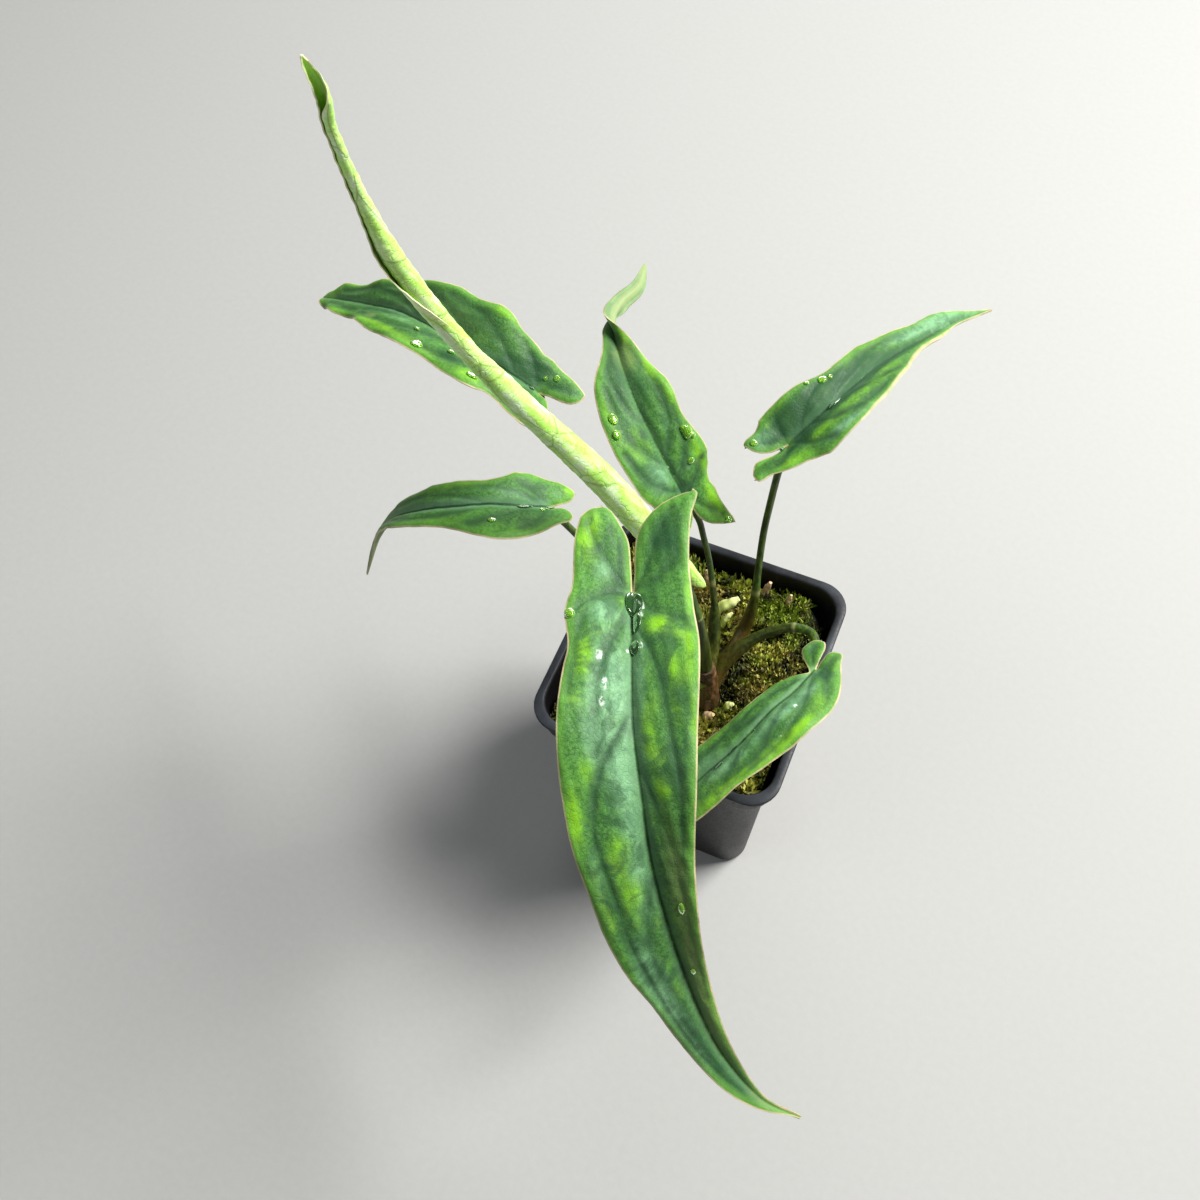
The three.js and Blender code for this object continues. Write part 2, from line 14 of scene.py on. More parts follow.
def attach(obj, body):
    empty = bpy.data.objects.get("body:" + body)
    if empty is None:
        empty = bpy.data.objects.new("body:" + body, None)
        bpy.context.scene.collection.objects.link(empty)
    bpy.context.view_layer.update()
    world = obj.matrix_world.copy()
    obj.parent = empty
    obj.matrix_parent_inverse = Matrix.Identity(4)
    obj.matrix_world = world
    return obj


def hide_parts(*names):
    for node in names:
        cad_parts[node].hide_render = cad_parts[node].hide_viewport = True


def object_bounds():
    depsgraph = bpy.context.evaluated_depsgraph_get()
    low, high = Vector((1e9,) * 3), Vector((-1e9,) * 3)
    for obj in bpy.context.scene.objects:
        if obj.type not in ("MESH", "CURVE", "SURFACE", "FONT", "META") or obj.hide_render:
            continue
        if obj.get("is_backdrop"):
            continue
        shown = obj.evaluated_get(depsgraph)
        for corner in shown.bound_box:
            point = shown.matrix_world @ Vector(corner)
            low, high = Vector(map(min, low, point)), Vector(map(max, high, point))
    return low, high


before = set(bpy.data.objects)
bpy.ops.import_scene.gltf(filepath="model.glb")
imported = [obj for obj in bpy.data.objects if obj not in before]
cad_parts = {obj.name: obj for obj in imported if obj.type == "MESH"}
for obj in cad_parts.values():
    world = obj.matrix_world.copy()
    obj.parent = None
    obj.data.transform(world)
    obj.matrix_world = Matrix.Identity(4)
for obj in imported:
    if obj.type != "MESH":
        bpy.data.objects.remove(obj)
cad_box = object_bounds()
MM = 0.001
print("CAD nodes:", sorted(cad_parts))

# %% [markdown]
# ## The camera
# The photograph looks down on the plant from the front, tilted a little to one side. It could be framed
# by eye, but the pot's square rim and the leaves' tips fix the view exactly, so the camera is placed by
# its compass angle, its height angle and its tilt, and its lens is as long as its sensor is wide.

# %% Place the camera
VIEW_AZIMUTH = math.radians(28.2)
VIEW_HEIGHT = math.radians(62.1)
VIEW_TILT = math.radians(-5.6)
VIEW_PLACE = Vector((48.6, -145.2, 412.9)) * MM
SENSOR = 36

back = Vector((
    math.sin(VIEW_AZIMUTH) * math.cos(VIEW_HEIGHT),
    -math.cos(VIEW_AZIMUTH) * math.cos(VIEW_HEIGHT),
    math.sin(VIEW_HEIGHT),
))
level = Vector((math.cos(VIEW_AZIMUTH), math.sin(VIEW_AZIMUTH), 0))
upright = back.cross(level)
right = level * math.cos(VIEW_TILT) + upright * math.sin(VIEW_TILT)
up = upright * math.cos(VIEW_TILT) - level * math.sin(VIEW_TILT)

bpy.ops.object.camera_add()
camera = bpy.context.object
camera.data.sensor_width = SENSOR
camera.data.lens = SENSOR
camera.data.clip_start = 0.01
camera.matrix_world = Matrix.Translation(VIEW_PLACE) @ Matrix((right, up, back)).transposed().to_4x4()
bpy.context.scene.camera = camera
print("camera", [round(v, 3) for v in camera.location])

# %% [markdown]
# ## Curves in space
# Stalks, midribs and the rolled leaf all follow curves. Blender's own curve objects could carry them,
# but the CAD source uses Catmull-Rom curves through rows of numbers, and the same few lines here make
# every finer piece run exactly where its CAD piece runs.

# %% Follow rows of numbers
def along(rows, t):
    """A smooth curve through rows of numbers, at t from 0 to the last row's number."""
    last = len(rows) - 1
    i = min(max(int(math.floor(t)), 0), last - 1)
    x = min(max(t, 0), last) - i
    b, c = rows[i], rows[i + 1]
    a = rows[i - 1] if i > 0 else 2 * b - c
    d = rows[i + 2] if i + 2 <= last else 2 * c - b
    return b + 0.5 * x * (c - a + x * (2 * a - 5 * b + 4 * c - d + x * (3 * (b - c) + d - a)))


def heading(rows, t, step=0.01):
    """The way the curve points at t."""
    way = along(rows, min(t + step, len(rows) - 1))[:3] - along(rows, max(t - step, 0))[:3]
    return way / np.linalg.norm(way)


def cross_frame(ahead, up, roll):
    """Right-hand side and upper normal of a strip pointing ahead, rolled by an angle in degrees."""
    side = np.cross(ahead, up)
    side = side / np.linalg.norm(side)
    normal = np.cross(side, ahead)
    turn = math.radians(roll)
    return (side * math.cos(turn) - np.cross(ahead, side) * math.sin(turn),
            normal * math.cos(turn) - np.cross(ahead, normal) * math.sin(turn))


def run_lengths(rows, steps=400):
    """Distances along the curve, and the t at each."""
    ts = np.linspace(0, len(rows) - 1, steps)
    points = np.array([along(rows, t)[:3] for t in ts])
    gaps = np.linalg.norm(np.diff(points, axis=0), axis=1)
    return np.concatenate([[0], np.cumsum(gaps)]), ts


def hump(distance, width):
    """1 where the distance is nothing, falling smoothly to 0 on both sides."""
    return np.exp(-(distance / width) ** 2)


# %% [markdown]
# ## Shaping a primitive
# An operator acts on everything that is selected, and loading leaves the CAD pieces selected, so each
# new piece starts with nothing selected. A sheet starts as a grid and a rod as a cylinder with rings
# cut into it. One helper then puts every corner in its place, which is how a leaf gets its curve.

# %% Start, shape and finish pieces
def clear_selection():
    if bpy.context.object and bpy.context.object.mode != "OBJECT":
        bpy.ops.object.mode_set(mode="OBJECT")
    bpy.ops.object.select_all(action="DESELECT")


def choose(*pieces):
    clear_selection()
    for piece in pieces:
        piece.select_set(True)
    bpy.context.view_layer.objects.active = pieces[0]


def corners(piece):
    """The places of a piece's corners, as an array."""
    places = np.zeros(len(piece.data.vertices) * 3)
    piece.data.vertices.foreach_get("co", places)
    return places.reshape(-1, 3)


def place_corners(piece, places):
    piece.data.vertices.foreach_set("co", np.asarray(places, float).ravel())
    piece.data.update()


def paint(piece, name, values):
    """Keeps a number on each corner, for a material to read. One number may do for all corners."""
    values = np.broadcast_to(np.asarray(values, np.float32), len(piece.data.vertices))
    field = piece.data.attributes.get(name) or piece.data.attributes.new(name, "FLOAT", "POINT")
    field.data.foreach_set("value", np.ascontiguousarray(values))


def read_field(piece, name):
    values = np.zeros(len(piece.data.vertices), np.float32)
    piece.data.attributes[name].data.foreach_get("value", values)
    return values


def smooth(piece, angle=60):
    choose(piece)
    bpy.ops.object.shade_smooth_by_angle(angle=math.radians(angle))


def apply_all(piece):
    choose(piece)
    for modifier in list(piece.modifiers):
        bpy.ops.object.modifier_apply(modifier=modifier.name)


def join(name, pieces):
    choose(*pieces)
    bpy.ops.object.join()
    piece = bpy.context.object
    piece.name = name
    piece.data.name = name
    return piece


def mend(piece, gap=0.0, flip=False, outwards=False):
    """Joins corners that are closer than a gap in mm, and turns the faces over or outwards."""
    choose(piece)
    bpy.ops.object.mode_set(mode="EDIT")
    bpy.ops.mesh.select_all(action="SELECT")
    if gap:
        bpy.ops.mesh.remove_doubles(threshold=gap * MM)
    if flip:
        bpy.ops.mesh.flip_normals()
    if outwards:
        bpy.ops.mesh.normals_make_consistent(inside=False)
    bpy.ops.object.mode_set(mode="OBJECT")


def sheet(name, columns, rows):
    """A flat grid from 0 to 1 each way. Returns it with each corner's share across and share along."""
    clear_selection()
    bpy.ops.mesh.primitive_grid_add(x_subdivisions=columns, y_subdivisions=rows, size=1)
    piece = bpy.context.object
    piece.name = name
    flat = corners(piece) + 0.5
    return piece, flat[:, 0], flat[:, 1]


def rod(name, rows, sides, rings, swell):
    """A cylinder with rings cut into it, laid along rows of x, y, z and radius. swell(share, angle) scales
    the radius. Returns it with each corner's angle and share of the length."""
    clear_selection()
    bpy.ops.mesh.primitive_cylinder_add(vertices=sides, radius=1, depth=1, end_fill_type="TRIFAN")
    piece = bpy.context.object
    piece.name = name
    bpy.ops.object.mode_set(mode="EDIT")
    bpy.ops.mesh.select_mode(type="EDGE")
    bpy.ops.mesh.select_all(action="DESELECT")
    bpy.ops.object.mode_set(mode="OBJECT")
    for edge in piece.data.edges:
        a, b = (piece.data.vertices[k].co for k in edge.vertices)
        edge.select = abs(a.z - b.z) > 0.5
    bpy.ops.object.mode_set(mode="EDIT")
    bpy.ops.mesh.subdivide(number_cuts=rings)
    bpy.ops.mesh.select_mode(type="VERT")
    bpy.ops.object.mode_set(mode="OBJECT")
    x, y, z = corners(piece).T
    angles, shares, reach = np.arctan2(y, x), z + 0.5, np.hypot(x, y)
    levels, index = np.unique(np.round(shares, 6), return_inverse=True)
    places = np.zeros((len(shares), 3))
    side = np.array([1.0, 0, 0])
    for k, share in enumerate(levels):
        t = share * (len(rows) - 1)
        row, ahead = along(rows, t), heading(rows, t)
        side = side - ahead * side.dot(ahead)
        side = side / np.linalg.norm(side)
        on = index == k
        radius = row[3] * reach[on] * swell(share, angles[on])
        places[on] = (row[:3] + np.outer(radius * np.cos(angles[on]), side)
                      + np.outer(radius * np.sin(angles[on]), np.cross(ahead, side)))
    place_corners(piece, places * MM)
    return piece, angles, shares


def finish(piece, node, slot_name, *materials):
    """Gives the piece its materials, and lets it stand for a CAD node."""
    for material in materials:
        piece.data.materials.append(material)
    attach(piece, "root")
    if node:
        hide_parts(node)
    print(piece.name, len(piece.data.polygons), "faces")


print("helpers for curves and pieces are ready")

# %% [markdown]
# ## Building materials from nodes
# A material is a small network: patterns in, one shader out. It could be clicked together in the shader
# editor. Written as code it stays readable if each helper adds one node and hands back its output.
# The patterns read Object coordinates, which are metres in the plant's own frame, or numbers that were
# kept on the corners, so they stay put on the piece from every side.

# %% Nodes in one line each
class Network:
    """One material's nodes. Most methods add a node and return the socket that comes out of it."""

    def __init__(self, name, **settings):
        self.material = bpy.data.materials.new(name)
        self.material.use_nodes = True
        self.nodes = self.material.node_tree.nodes
        self.links = self.material.node_tree.links
        self.shader = self.nodes["Principled BSDF"]
        for socket, value in settings.items():
            self.shader.inputs[socket.replace("_", " ")].default_value = value
        self.where = self.nodes.new("ShaderNodeTexCoord").outputs["Object"]

    def feed(self, socket, value):
        if isinstance(value, bpy.types.NodeSocket):
            self.links.new(value, socket)
        else:
            socket.default_value = value

    def field(self, name):
        """A number kept on the corners."""
        node = self.nodes.new("ShaderNodeAttribute")
        node.attribute_name = name
        return node.outputs["Fac"]

    def height(self):
        """Metres above the pot's foot."""
        node = self.nodes.new("ShaderNodeSeparateXYZ")
        self.links.new(self.where, node.inputs[0])
        return node.outputs[2]

    def math(self, operation, a, b=0.0, c=0.0, clamp=False):
        node = self.nodes.new("ShaderNodeMath")
        node.operation = operation
        node.use_clamp = clamp
        for socket, value in zip(node.inputs, (a, b, c)):
            self.feed(socket, value)
        return node.outputs[0]

    def times(self, *values):
        """The product of two or more values."""
        product = values[0]
        for value in values[1:]:
            product = self.math("MULTIPLY", product, value)
        return product

    def stretched(self, scale):
        node = self.nodes.new("ShaderNodeMapping")
        self.links.new(self.where, node.inputs["Vector"])
        node.inputs["Scale"].default_value = scale
        return node.outputs["Vector"]

    def noise(self, scale, detail=3.0, rough=0.6, distortion=0.0, vector=None):
        node = self.nodes.new("ShaderNodeTexNoise")
        self.links.new(vector or self.where, node.inputs["Vector"])
        node.inputs["Scale"].default_value = scale
        node.inputs["Detail"].default_value = detail
        node.inputs["Roughness"].default_value = rough
        node.inputs["Distortion"].default_value = distortion
        return node.outputs["Fac"]

    def walls(self, scale, vector=None):
        """Distance to the walls of a net of cells."""
        node = self.nodes.new("ShaderNodeTexVoronoi")
        self.links.new(vector or self.where, node.inputs["Vector"])
        node.feature = "DISTANCE_TO_EDGE"
        node.inputs["Scale"].default_value = scale
        return node.outputs["Distance"]

    def ramp(self, value, low, high, start=0.0, end=1.0):
        """start below low, end above high, and a smooth step between."""
        node = self.nodes.new("ShaderNodeMapRange")
        node.interpolation_type = "SMOOTHSTEP"
        for socket, number in zip(node.inputs, (value, low, high, start, end)):
            self.feed(socket, number)
        return node.outputs["Result"]

    def mix(self, share, under, over):
        node = self.nodes.new("ShaderNodeMix")
        node.data_type = "RGBA"
        self.feed(node.inputs[0], share)
        for socket, colour in ((node.inputs[6], under), (node.inputs[7], over)):
            self.feed(socket, colour if isinstance(colour, bpy.types.NodeSocket) else (*colour, 1))
        return node.outputs[2]

    def ground(self, value, low, high, first, second):
        """The first colour where the value is low, the second where it is high."""
        self.colour = self.mix(self.ramp(value, low, high), first, second)

    def layer(self, over, value, *steps):
        """Lays a colour over what is there, as far as the value says, or its ramp over the steps."""
        self.colour = self.mix(self.ramp(value, *steps) if steps else value, self.colour, over)

    def bump(self, height, distance, strength=0.5, under=None):
        node = self.nodes.new("ShaderNodeBump")
        self.feed(node.inputs["Height"], height)
        node.inputs["Distance"].default_value = distance
        node.inputs["Strength"].default_value = strength
        if under:
            self.links.new(under, node.inputs["Normal"])
        return node.outputs["Normal"]

    def done(self, roughness, normal):
        """Feeds colour, roughness and normal to the shader, and hands back the material."""
        self.feed(self.shader.inputs["Base Color"], self.colour)
        self.feed(self.shader.inputs["Roughness"], roughness)
        self.links.new(normal, self.shader.inputs["Normal"])
        return self.material


print("a material has", len([name for name in vars(Network) if name[0] != "_"]), "kinds of step")

# %% [markdown]
# ## The six open leaves, in numbers
# Each leaf could be modelled by hand, but the camera's view fixes its outline, so it is kept as numbers.
# The midrib is a curve in space with a roll and a fold at every station, the same rows as in the CAD.
# Outline, veins and patches are in mm along the midrib and out from it, with the lobes behind the stalk
# counted backwards. The right half is plus, the left half is minus. The rows say:
#
# - waves of the edge: how many, how high, where they start; lobe_lift: how steeply the lobes rise
# - mottle and rib_line: how strong the mottling and the midrib's dark line are
# - stations: x, y, z, roll, fold; stalk: x, y, z, radius
# - outline and sinus: the outer and the inner edge of each half, which meet at the lobe's tip
# - veins: strength and course; drops: place, half length, half width, height, bend
# - patches of bright, dark and olive tone, pale grey-green painted sheen, white lime specks with painted
#   glints on pooled water, and a pale edge: place, reach along and across, amount
#
# The front leaf is the largest and arches out over the pot's front edge. It is the most mottled one:
# yellow-green at the shoulders and olive towards the tip, with a pale painted sheen along the midrib.

# %% Numbers of the front leaf
LEAVES = {}
LEAVES["front"] = {
    "lobe_lift": 0.2, "waves": (5, 0.7, 20), "mottle": 1, "rib_line": 0.8,
    "stations": [(-1.5, -37, 190, 0, 12), (4, -50.5, 192, 0, 12), (10, -64.5, 191, -2, 12),
        (16.5, -76, 186, -6, 14), (23.5, -87, 176, -10, 16), (34, -98, 157, -14, 20),
        (46, -107, 136, -14, 20), (58.5, -111.5, 121, -10, 20), (69, -111, 112, 0, 15)],
    "stalk": [(8, -10, 97, 1.9), (6, -15, 102, 1.8), (2.8, -21.8, 118, 1.6), (-0.2, -28.3, 143, 1.4),
        (-1.2, -34.4, 170, 1.3)],
    "outline": {
        1: [(-19.2, 6.6), (-18.4, 9), (-17, 10.8), (-15, 11.8), (-10, 12.7), (0, 12.9), (5, 13.8), (8, 14.2),
            (14, 13.3), (20, 14.2), (30, 15.3), (40, 15.9), (50, 15.3), (60, 14), (70, 13.4), (80, 11.7),
            (90, 9), (100, 7.6), (110, 6.2), (120, 4.8), (130, 2.9), (140, 0.9), (145, 0.3)],
        -1: [(-22, 13), (-21.4, 14), (-20, 14.1), (-15, 12.7), (-5, 12.2), (5, 13), (14, 14), (25, 13.7),
            (35, 12.7), (45, 11.2), (55, 9.6), (65, 8), (80, 5.9), (100, 4), (110, 3.2), (120, 2.2),
            (130, 1.1), (140, 0.5), (145, 0.3)],
    },
    "sinus": {
        1: [(-19.2, 6.6), (-18.4, 4.9), (-15.2, 2.7), (-11.5, 0.9), (-6, 0.35), (0, 0)],
        -1: [(-22, 13), (-21, 9.6), (-18.6, 4.8), (-14, 1.2), (-9, 0.4), (-4, 0.35), (0, 0)],
    },
    "veins": [(0.9, [(-0.5, 1.2), (-3, 3.4), (-9.5, 7.8), (-14, 9.5)]),
        (0.7, [(1, 1.2), (1.4, 5), (4, 9), (7.5, 12.5)]),
        (0.6, [(7, 0.8), (11, 3), (18, 6.2), (26, 7.2), (35, 7.6)]),
        (1, [(29, 0.6), (34, 4.5), (38, 7), (43, 9.3), (50, 10.2), (57, 9.4), (65, 8.9), (75, 8.5),
            (84, 7.4), (95, 6.2), (110, 4.2), (125, 2)]),
        (0.4, [(6, 9.5), (14, 12), (24, 13)]), (0.5, [(62, 0.5), (68, 3), (76, 5), (90, 5), (105, 3.5)]),
        (0.8, [(-0.5, -0.8), (-5, -3), (-12, -5.2), (-17, -8)]),
        (0.7, [(2.5, -1), (5.5, -4), (8, -9), (10.5, -12.5)]),
        (1, [(9, -0.6), (14, -3.2), (20, -5.5), (27, -7), (35, -7.7), (45, -7.9), (55, -7)]),
        (0.5, [(40, -0.5), (48, -3), (58, -5), (75, -4.4), (95, -3)]),
        (0.5, [(-1, -1.5), (-3, -6), (-7, -9.5)])],
    "bright": [(17, 10, 4.5, 2, 1), (-10, 10, 5, 2.5, 1), (-15, 9, 3, 2.5, 0.6), (46, 14, 5.5, 1.8, 1),
        (54, 5.5, 4, 3, 0.6), (63, 5, 4, 3, 0.6), (38, 10, 3.5, 2, 0.5), (9, -6, 2, 3.2, 1),
        (33, -3.2, 4, 1.5, 0.6), (43, -4.6, 2.5, 1.8, 0.8), (20, -8.5, 4, 1.6, 0.6), (29, -9, 3, 1.5, 0.5),
        (15, -12, 6, 1.2, 0.7), (30, -12.5, 8, 1, 0.7), (2, -12, 5, 1, 0.7), (-14, -13, 4, 1.2, 0.4),
        (3, 2.2, 2.5, 1.2, 0.6)],
    "dark": [(-8, 2.2, 6, 1.3, 1), (-1, 4, 2.5, 3, 0.5), (1, -4, 4, 2.5, 0.5), (40, -1.5, 8, 1.2, 0.5),
        (24, -10, 5, 1.5, 0.4), (74, 5, 6, 4, 0.35), (90, 3.5, 10, 2.5, 0.45), (112, 2.5, 16, 2, 0.7),
        (-12, -7, 5, 4, 0.7), (40, -6, 14, 3, 0.3), (130, 1, 12, 2, 0.5), (-6, -8, 6, 4, 0.4),
        (30, 13.5, 6, 1.5, 0.3), (62, 10.5, 8, 1.5, 0.4)],
    "silver_sheen": [(6, 6, 4, 4, 0.75), (22, 4.5, 10, 5, 1.05), (40, 3, 12, 3.4, 0.9), (86, 7, 12, 3.2, 1.1),
        (60, 3, 12, 2.5, 0.75), (58, 11, 8, 2, 0.5), (105, 4.5, 13, 2.4, 1), (-4, 6, 3.5, 2.5, 0.7),
        (20, -2, 10, 1.2, 0.45), (34, 8.5, 7, 3, 0.5)],
    "olive": [(60, -5, 14, 3, 0.6), (85, -3.5, 18, 2.8, 0.9), (110, -2, 15, 2.4, 1), (135, 0, 8, 2, 1)],
    "chalk": [(16.5, 6.8, 1.3, 0.9, 1), (22.5, 5.5, 1.6, 0.8, 1), (26, 6, 1.2, 0.7, 0.9),
        (30, 6.4, 0.8, 0.5, 0.6), (58, -5.2, 0.35, 0.35, 1), (5, -2.1, 2.2, 0.45, 1.4),
        (14, -1.9, 1, 0.4, 1.2), (15, 0.9, 0.5, 0.4, 1)],
    "drops": [(3.4, -0.3, 3.3, 1.8, 1, 0.3), (8.2, -0.9, 2.3, 1, 0.8, 0.3),
        (14.2, -0.6, 1.5, 1.1, 0.9, 0), (8, 13, 1.15, 1.15, 0.8, 0), (69, -3.8, 1.35, 0.7, 0.6, 0),
        (86.5, -2, 0.8, 0.55, 0.4, 0)],
}
print("front", len(LEAVES["front"]["stations"]), "stations")

# %% [markdown]
# ## The low right leaf
# This one grows low over the pot's right side and hangs towards the front. Its left half is lit
# yellow-green, and its stalk leaves the stem in a bow.

# %% Numbers of the low right leaf
LEAVES["right_front"] = {
    "lobe_lift": 0.4, "waves": (3, 0.5, 60), "mottle": 0.5, "rib_line": 0.7,
    "stations": [(36.5, -3.5, 115, -20, -10), (33.5, -13.5, 118, -20, -10), (29.5, -22, 119, -20, -10),
        (25, -32.5, 116, -18, -8), (18.5, -43, 110, -15, -5), (11.5, -55, 101, -10, 0),
        (6.5, -65, 91, -5, 5)],
    "stalk": [(8, -9, 87, 2.6), (8.6, -3.8, 90.5, 2.8), (12, 1.4, 95.5, 2.4), (17.3, 6.1, 101, 1.6),
        (22.4, 8.6, 105, 1.4), (26.8, 10, 107, 1.35), (31.5, 9.8, 107.5, 1.3), (34.2, 6.1, 108, 1.2),
        (35.2, 0.6, 109, 1.1)],
    "outline": {
        1: [(-7.8, 2.9), (-7.4, 4.6), (-6.5, 5.9), (-4, 6.8), (-2, 5.5), (0, 3), (1.6, 1.2), (2.5, 0.8),
            (3.4, 1.5), (5, 3.6), (8, 6), (12, 7.4), (20, 6.8), (25, 7.3), (30, 8), (36, 8.8), (42, 8.4),
            (52, 8), (60, 6.8), (68, 4.6), (74, 2.2), (77.5, 0.3)],
        -1: [(-6.6, 3.9), (-6.2, 4.8), (-4, 5.6), (0, 8), (5, 10), (10, 11.2), (16, 11.6), (22, 11.3),
            (30, 9.5), (38, 8.7), (45, 8.6), (52, 7.9), (60, 6.6), (68, 4.4), (74, 2), (77.5, 0.3)],
    },
    "sinus": {
        1: [(-7.8, 2.9), (-7.4, 1.5), (-6, 0.6), (-4.2, 0.35), (0, 0)],
        -1: [(-6.6, 3.9), (-6, 2), (-4.8, 0.8), (-2.5, 0.35), (0, 0)],
    },
    "veins": [(0.8, [(4, 0.4), (9, 2.5), (16, 4.3), (28, 5), (40, 5.5)]),
        (0.6, [(20, 0.4), (27, 3), (36, 5), (48, 5)]), (0.6, [(-0.3, 1), (-3, 3), (-5.5, 4.2)]),
        (0.9, [(3, -0.5), (8, -2.6), (13, -5), (22, -7.6), (32, -7.5), (44, -7)]),
        (0.6, [(16, -0.6), (22, -3), (30, -5.5), (42, -6)]), (0.5, [(33, -1), (36, -3), (42, -6)]),
        (0.6, [(1, -1), (3, -5), (8, -8.5)]), (0.5, [(-0.3, -0.8), (-2.5, -2.8), (-5, -4.2)])],
    "bright": [(42, -7.4, 8, 1.6, 1.6), (28, -8.4, 7, 1.6, 1.2), (18, -9.4, 6, 1.5, 0.8),
        (10, -7.5, 4, 2, 0.5), (-3, -5, 3, 1.5, 0.5), (36, 7, 8, 1.5, 0.4)],
    "dark": [(1, -3, 2.5, 3, 0.9), (0, 1.5, 2.5, 1.5, 0.6), (26, 2, 10, 1.5, 0.3), (14, 5, 6, 2, 0.2)],
    "silver_sheen": [(18, -3, 10, 2, 0.9), (38, -2.5, 8, 2, 0.8), (42, 2.5, 8, 2.5, 0.6), (-5, 4.5, 2.5, 2, 0.6),
        (8, -3, 3, 2, 0.5)],
    "chalk": [(14.5, -4, 1, 0.8, 0.8), (23.5, -7, 0.7, 0.5, 0.6), (23.8, -4.2, 0.4, 0.3, 0.6)],
    "drops": [(27, -0.2, 0.7, 0.3, 0.25, 0), (30, -0.1, 0.9, 0.3, 0.25, 0), (34, 0, 1.6, 0.4, 0.3, 0),
        (39.5, -0.8, 1.3, 0.55, 0.4, 0)],
}
print("low right", len(LEAVES["right_front"]["stations"]), "stations")

# %% [markdown]
# ## The right back leaf
# Dark along the midrib and grey towards its tip, with a margin that is broad and pale on the right.

# %% Numbers of the right back leaf
LEAVES["right_back"] = {
    "lobe_lift": 0.15, "waves": (4, 0.6, 200), "mottle": 0.7, "rib_line": 0.3,
    "stations": [(12, 31.5, 160, 4, 18), (18, 42.5, 164, 4, 18), (22.5, 54, 163, 4, 18),
        (27, 66, 160, 2, 18), (33.5, 80.5, 155, 0, 15), (40, 96, 148, 0, 15), (48, 111.5, 140, 0, 15)],
    "stalk": [(8.6, -9, 81.5, 1.8), (9, -4.9, 83, 1.8), (9.8, 5, 84, 1.8), (11.2, 12.5, 87.5, 2),
        (12.1, 15.8, 93, 1.9), (12.2, 18.5, 101, 1.3), (11.2, 22.1, 110, 1.05), (10.2, 26.6, 123, 1),
        (10.4, 28.8, 136, 1), (11, 30.7, 150, 1)],
    "outline": {
        1: [(-12.5, 2.6), (-12.2, 3.8), (-11, 4.4), (-9, 4.7), (-7, 5.8), (-4, 7.5), (0, 9), (4, 11),
            (6, 12), (12, 11.6), (16, 11.2), (20, 10.3), (25, 10), (30, 9.2), (35, 8.2), (40, 6.8),
            (45, 4.9), (50, 3.6), (55, 3.2), (60, 3.2), (65, 2.4), (72, 1.3), (82, 0.8), (93, 0.3)],
        -1: [(-8.4, 6.4), (-8.1, 7.4), (-6.5, 8), (-4, 8.1), (-2, 9), (0, 10), (8, 10), (14, 9.6), (18, 8.5),
            (22, 7.6), (28, 7.4), (35, 8), (40, 7), (48, 6), (55, 5.6), (65, 5.6), (70, 4.7), (75, 3.5),
            (85, 1.5), (93, 0.3)],
    },
    "sinus": {
        1: [(-12.5, 2.6), (-12, 0.8), (-10.5, -0.8), (-9, -1.4), (-6, -0.7), (-3, 0.2), (0, 0)],
        -1: [(-8.4, 6.4), (-7.4, 3.4), (-5, 1.2), (-2.5, 0.35), (0, 0)],
    },
    "veins": [(0.9, [(1, 0.8), (4, 5), (9, 9.5)]), (0.8, [(8, 0.6), (13, 4.5), (20, 7.2), (30, 7)]),
        (0.6, [(20, 0.5), (28, 3.4), (38, 5), (50, 2.8)]), (0.6, [(-0.4, 0.8), (-4, 3.5), (-9, 3.5)]),
        (0.7, [(0.5, -0.8), (1, -4), (3, -8.5)]), (0.7, [(5, -0.6), (9, -3.6), (16, -6), (26, -6)]),
        (0.5, [(16, -0.5), (22, -2.8), (32, -4.7), (44, -4.8), (58, -4)]),
        (0.5, [(-0.3, -0.8), (-3, -2.8), (-6, -5)])],
    "bright": [(7, 4.6, 5, 2.2, 0.4), (15, 4.6, 7, 2.2, 0.42), (27, 4.4, 9, 2, 0.38), (38, 3.6, 8, 1.6, 0.3),
        (-4, 5.5, 3, 1.5, 0.6), (0, 7.5, 4, 2, 0.45), (5, -9, 5, 1.2, 0.5), (28, -5.5, 7, 1.5, 0.3),
        (38, -6, 6, 1.2, 0.4)],
    "dark": [(3, -3, 6, 4, 1.2), (3, 2.2, 5, 2, 0.9), (15, -2.4, 9, 4, 1.2), (30, -1.4, 12, 2.8, 1.1),
        (22, 1.5, 12, 1.4, 0.6), (20, -7, 14, 3, 0.35), (45, 0.5, 12, 1.6, 0.7), (-8, 2, 3, 1.5, 0.4)],
    "silver_sheen": [(11, 8.8, 4, 1.6, 0.9), (-4, -4.5, 4, 3, 1), (60, -3, 14, 2.5, 0.9), (75, -1, 12, 2.5, 1.1),
        (50, -3.5, 10, 1.6, 0.5), (18, 9.4, 5, 1.2, 0.5), (86, 0, 8, 2, 1)],
    "pale_edge": [(38, 8, 12, 3, 1), (50, 4, 10, 3, 1), (60, 3, 8, 2, 0.8), (24, 10, 10, 2, 0.5)],
    "chalk": [(-1, -0.3, 0.7, 0.5, 0.4)],
    "drops": [(15.7, 0.7, 2.3, 0.9, 0.8, 0.15), (18.5, -6.2, 1.3, 1, 0.7, 0), (20.6, -5.3, 0.7, 0.6, 0.5, 0),
        (14.5, -8.2, 0.75, 0.75, 0.5, 0), (-6, -5.5, 0.9, 0.9, 0.6, 0), (-2, 0.3, 0.8, 0.6, 0.5, 0)],
}
print("right back", len(LEAVES["right_back"]["stations"]), "stations")

# %% [markdown]
# ## The middle back leaf
# This leaf turns over on its way: the roll at its stations passes 90 degrees, so its tip shows the
# underside.

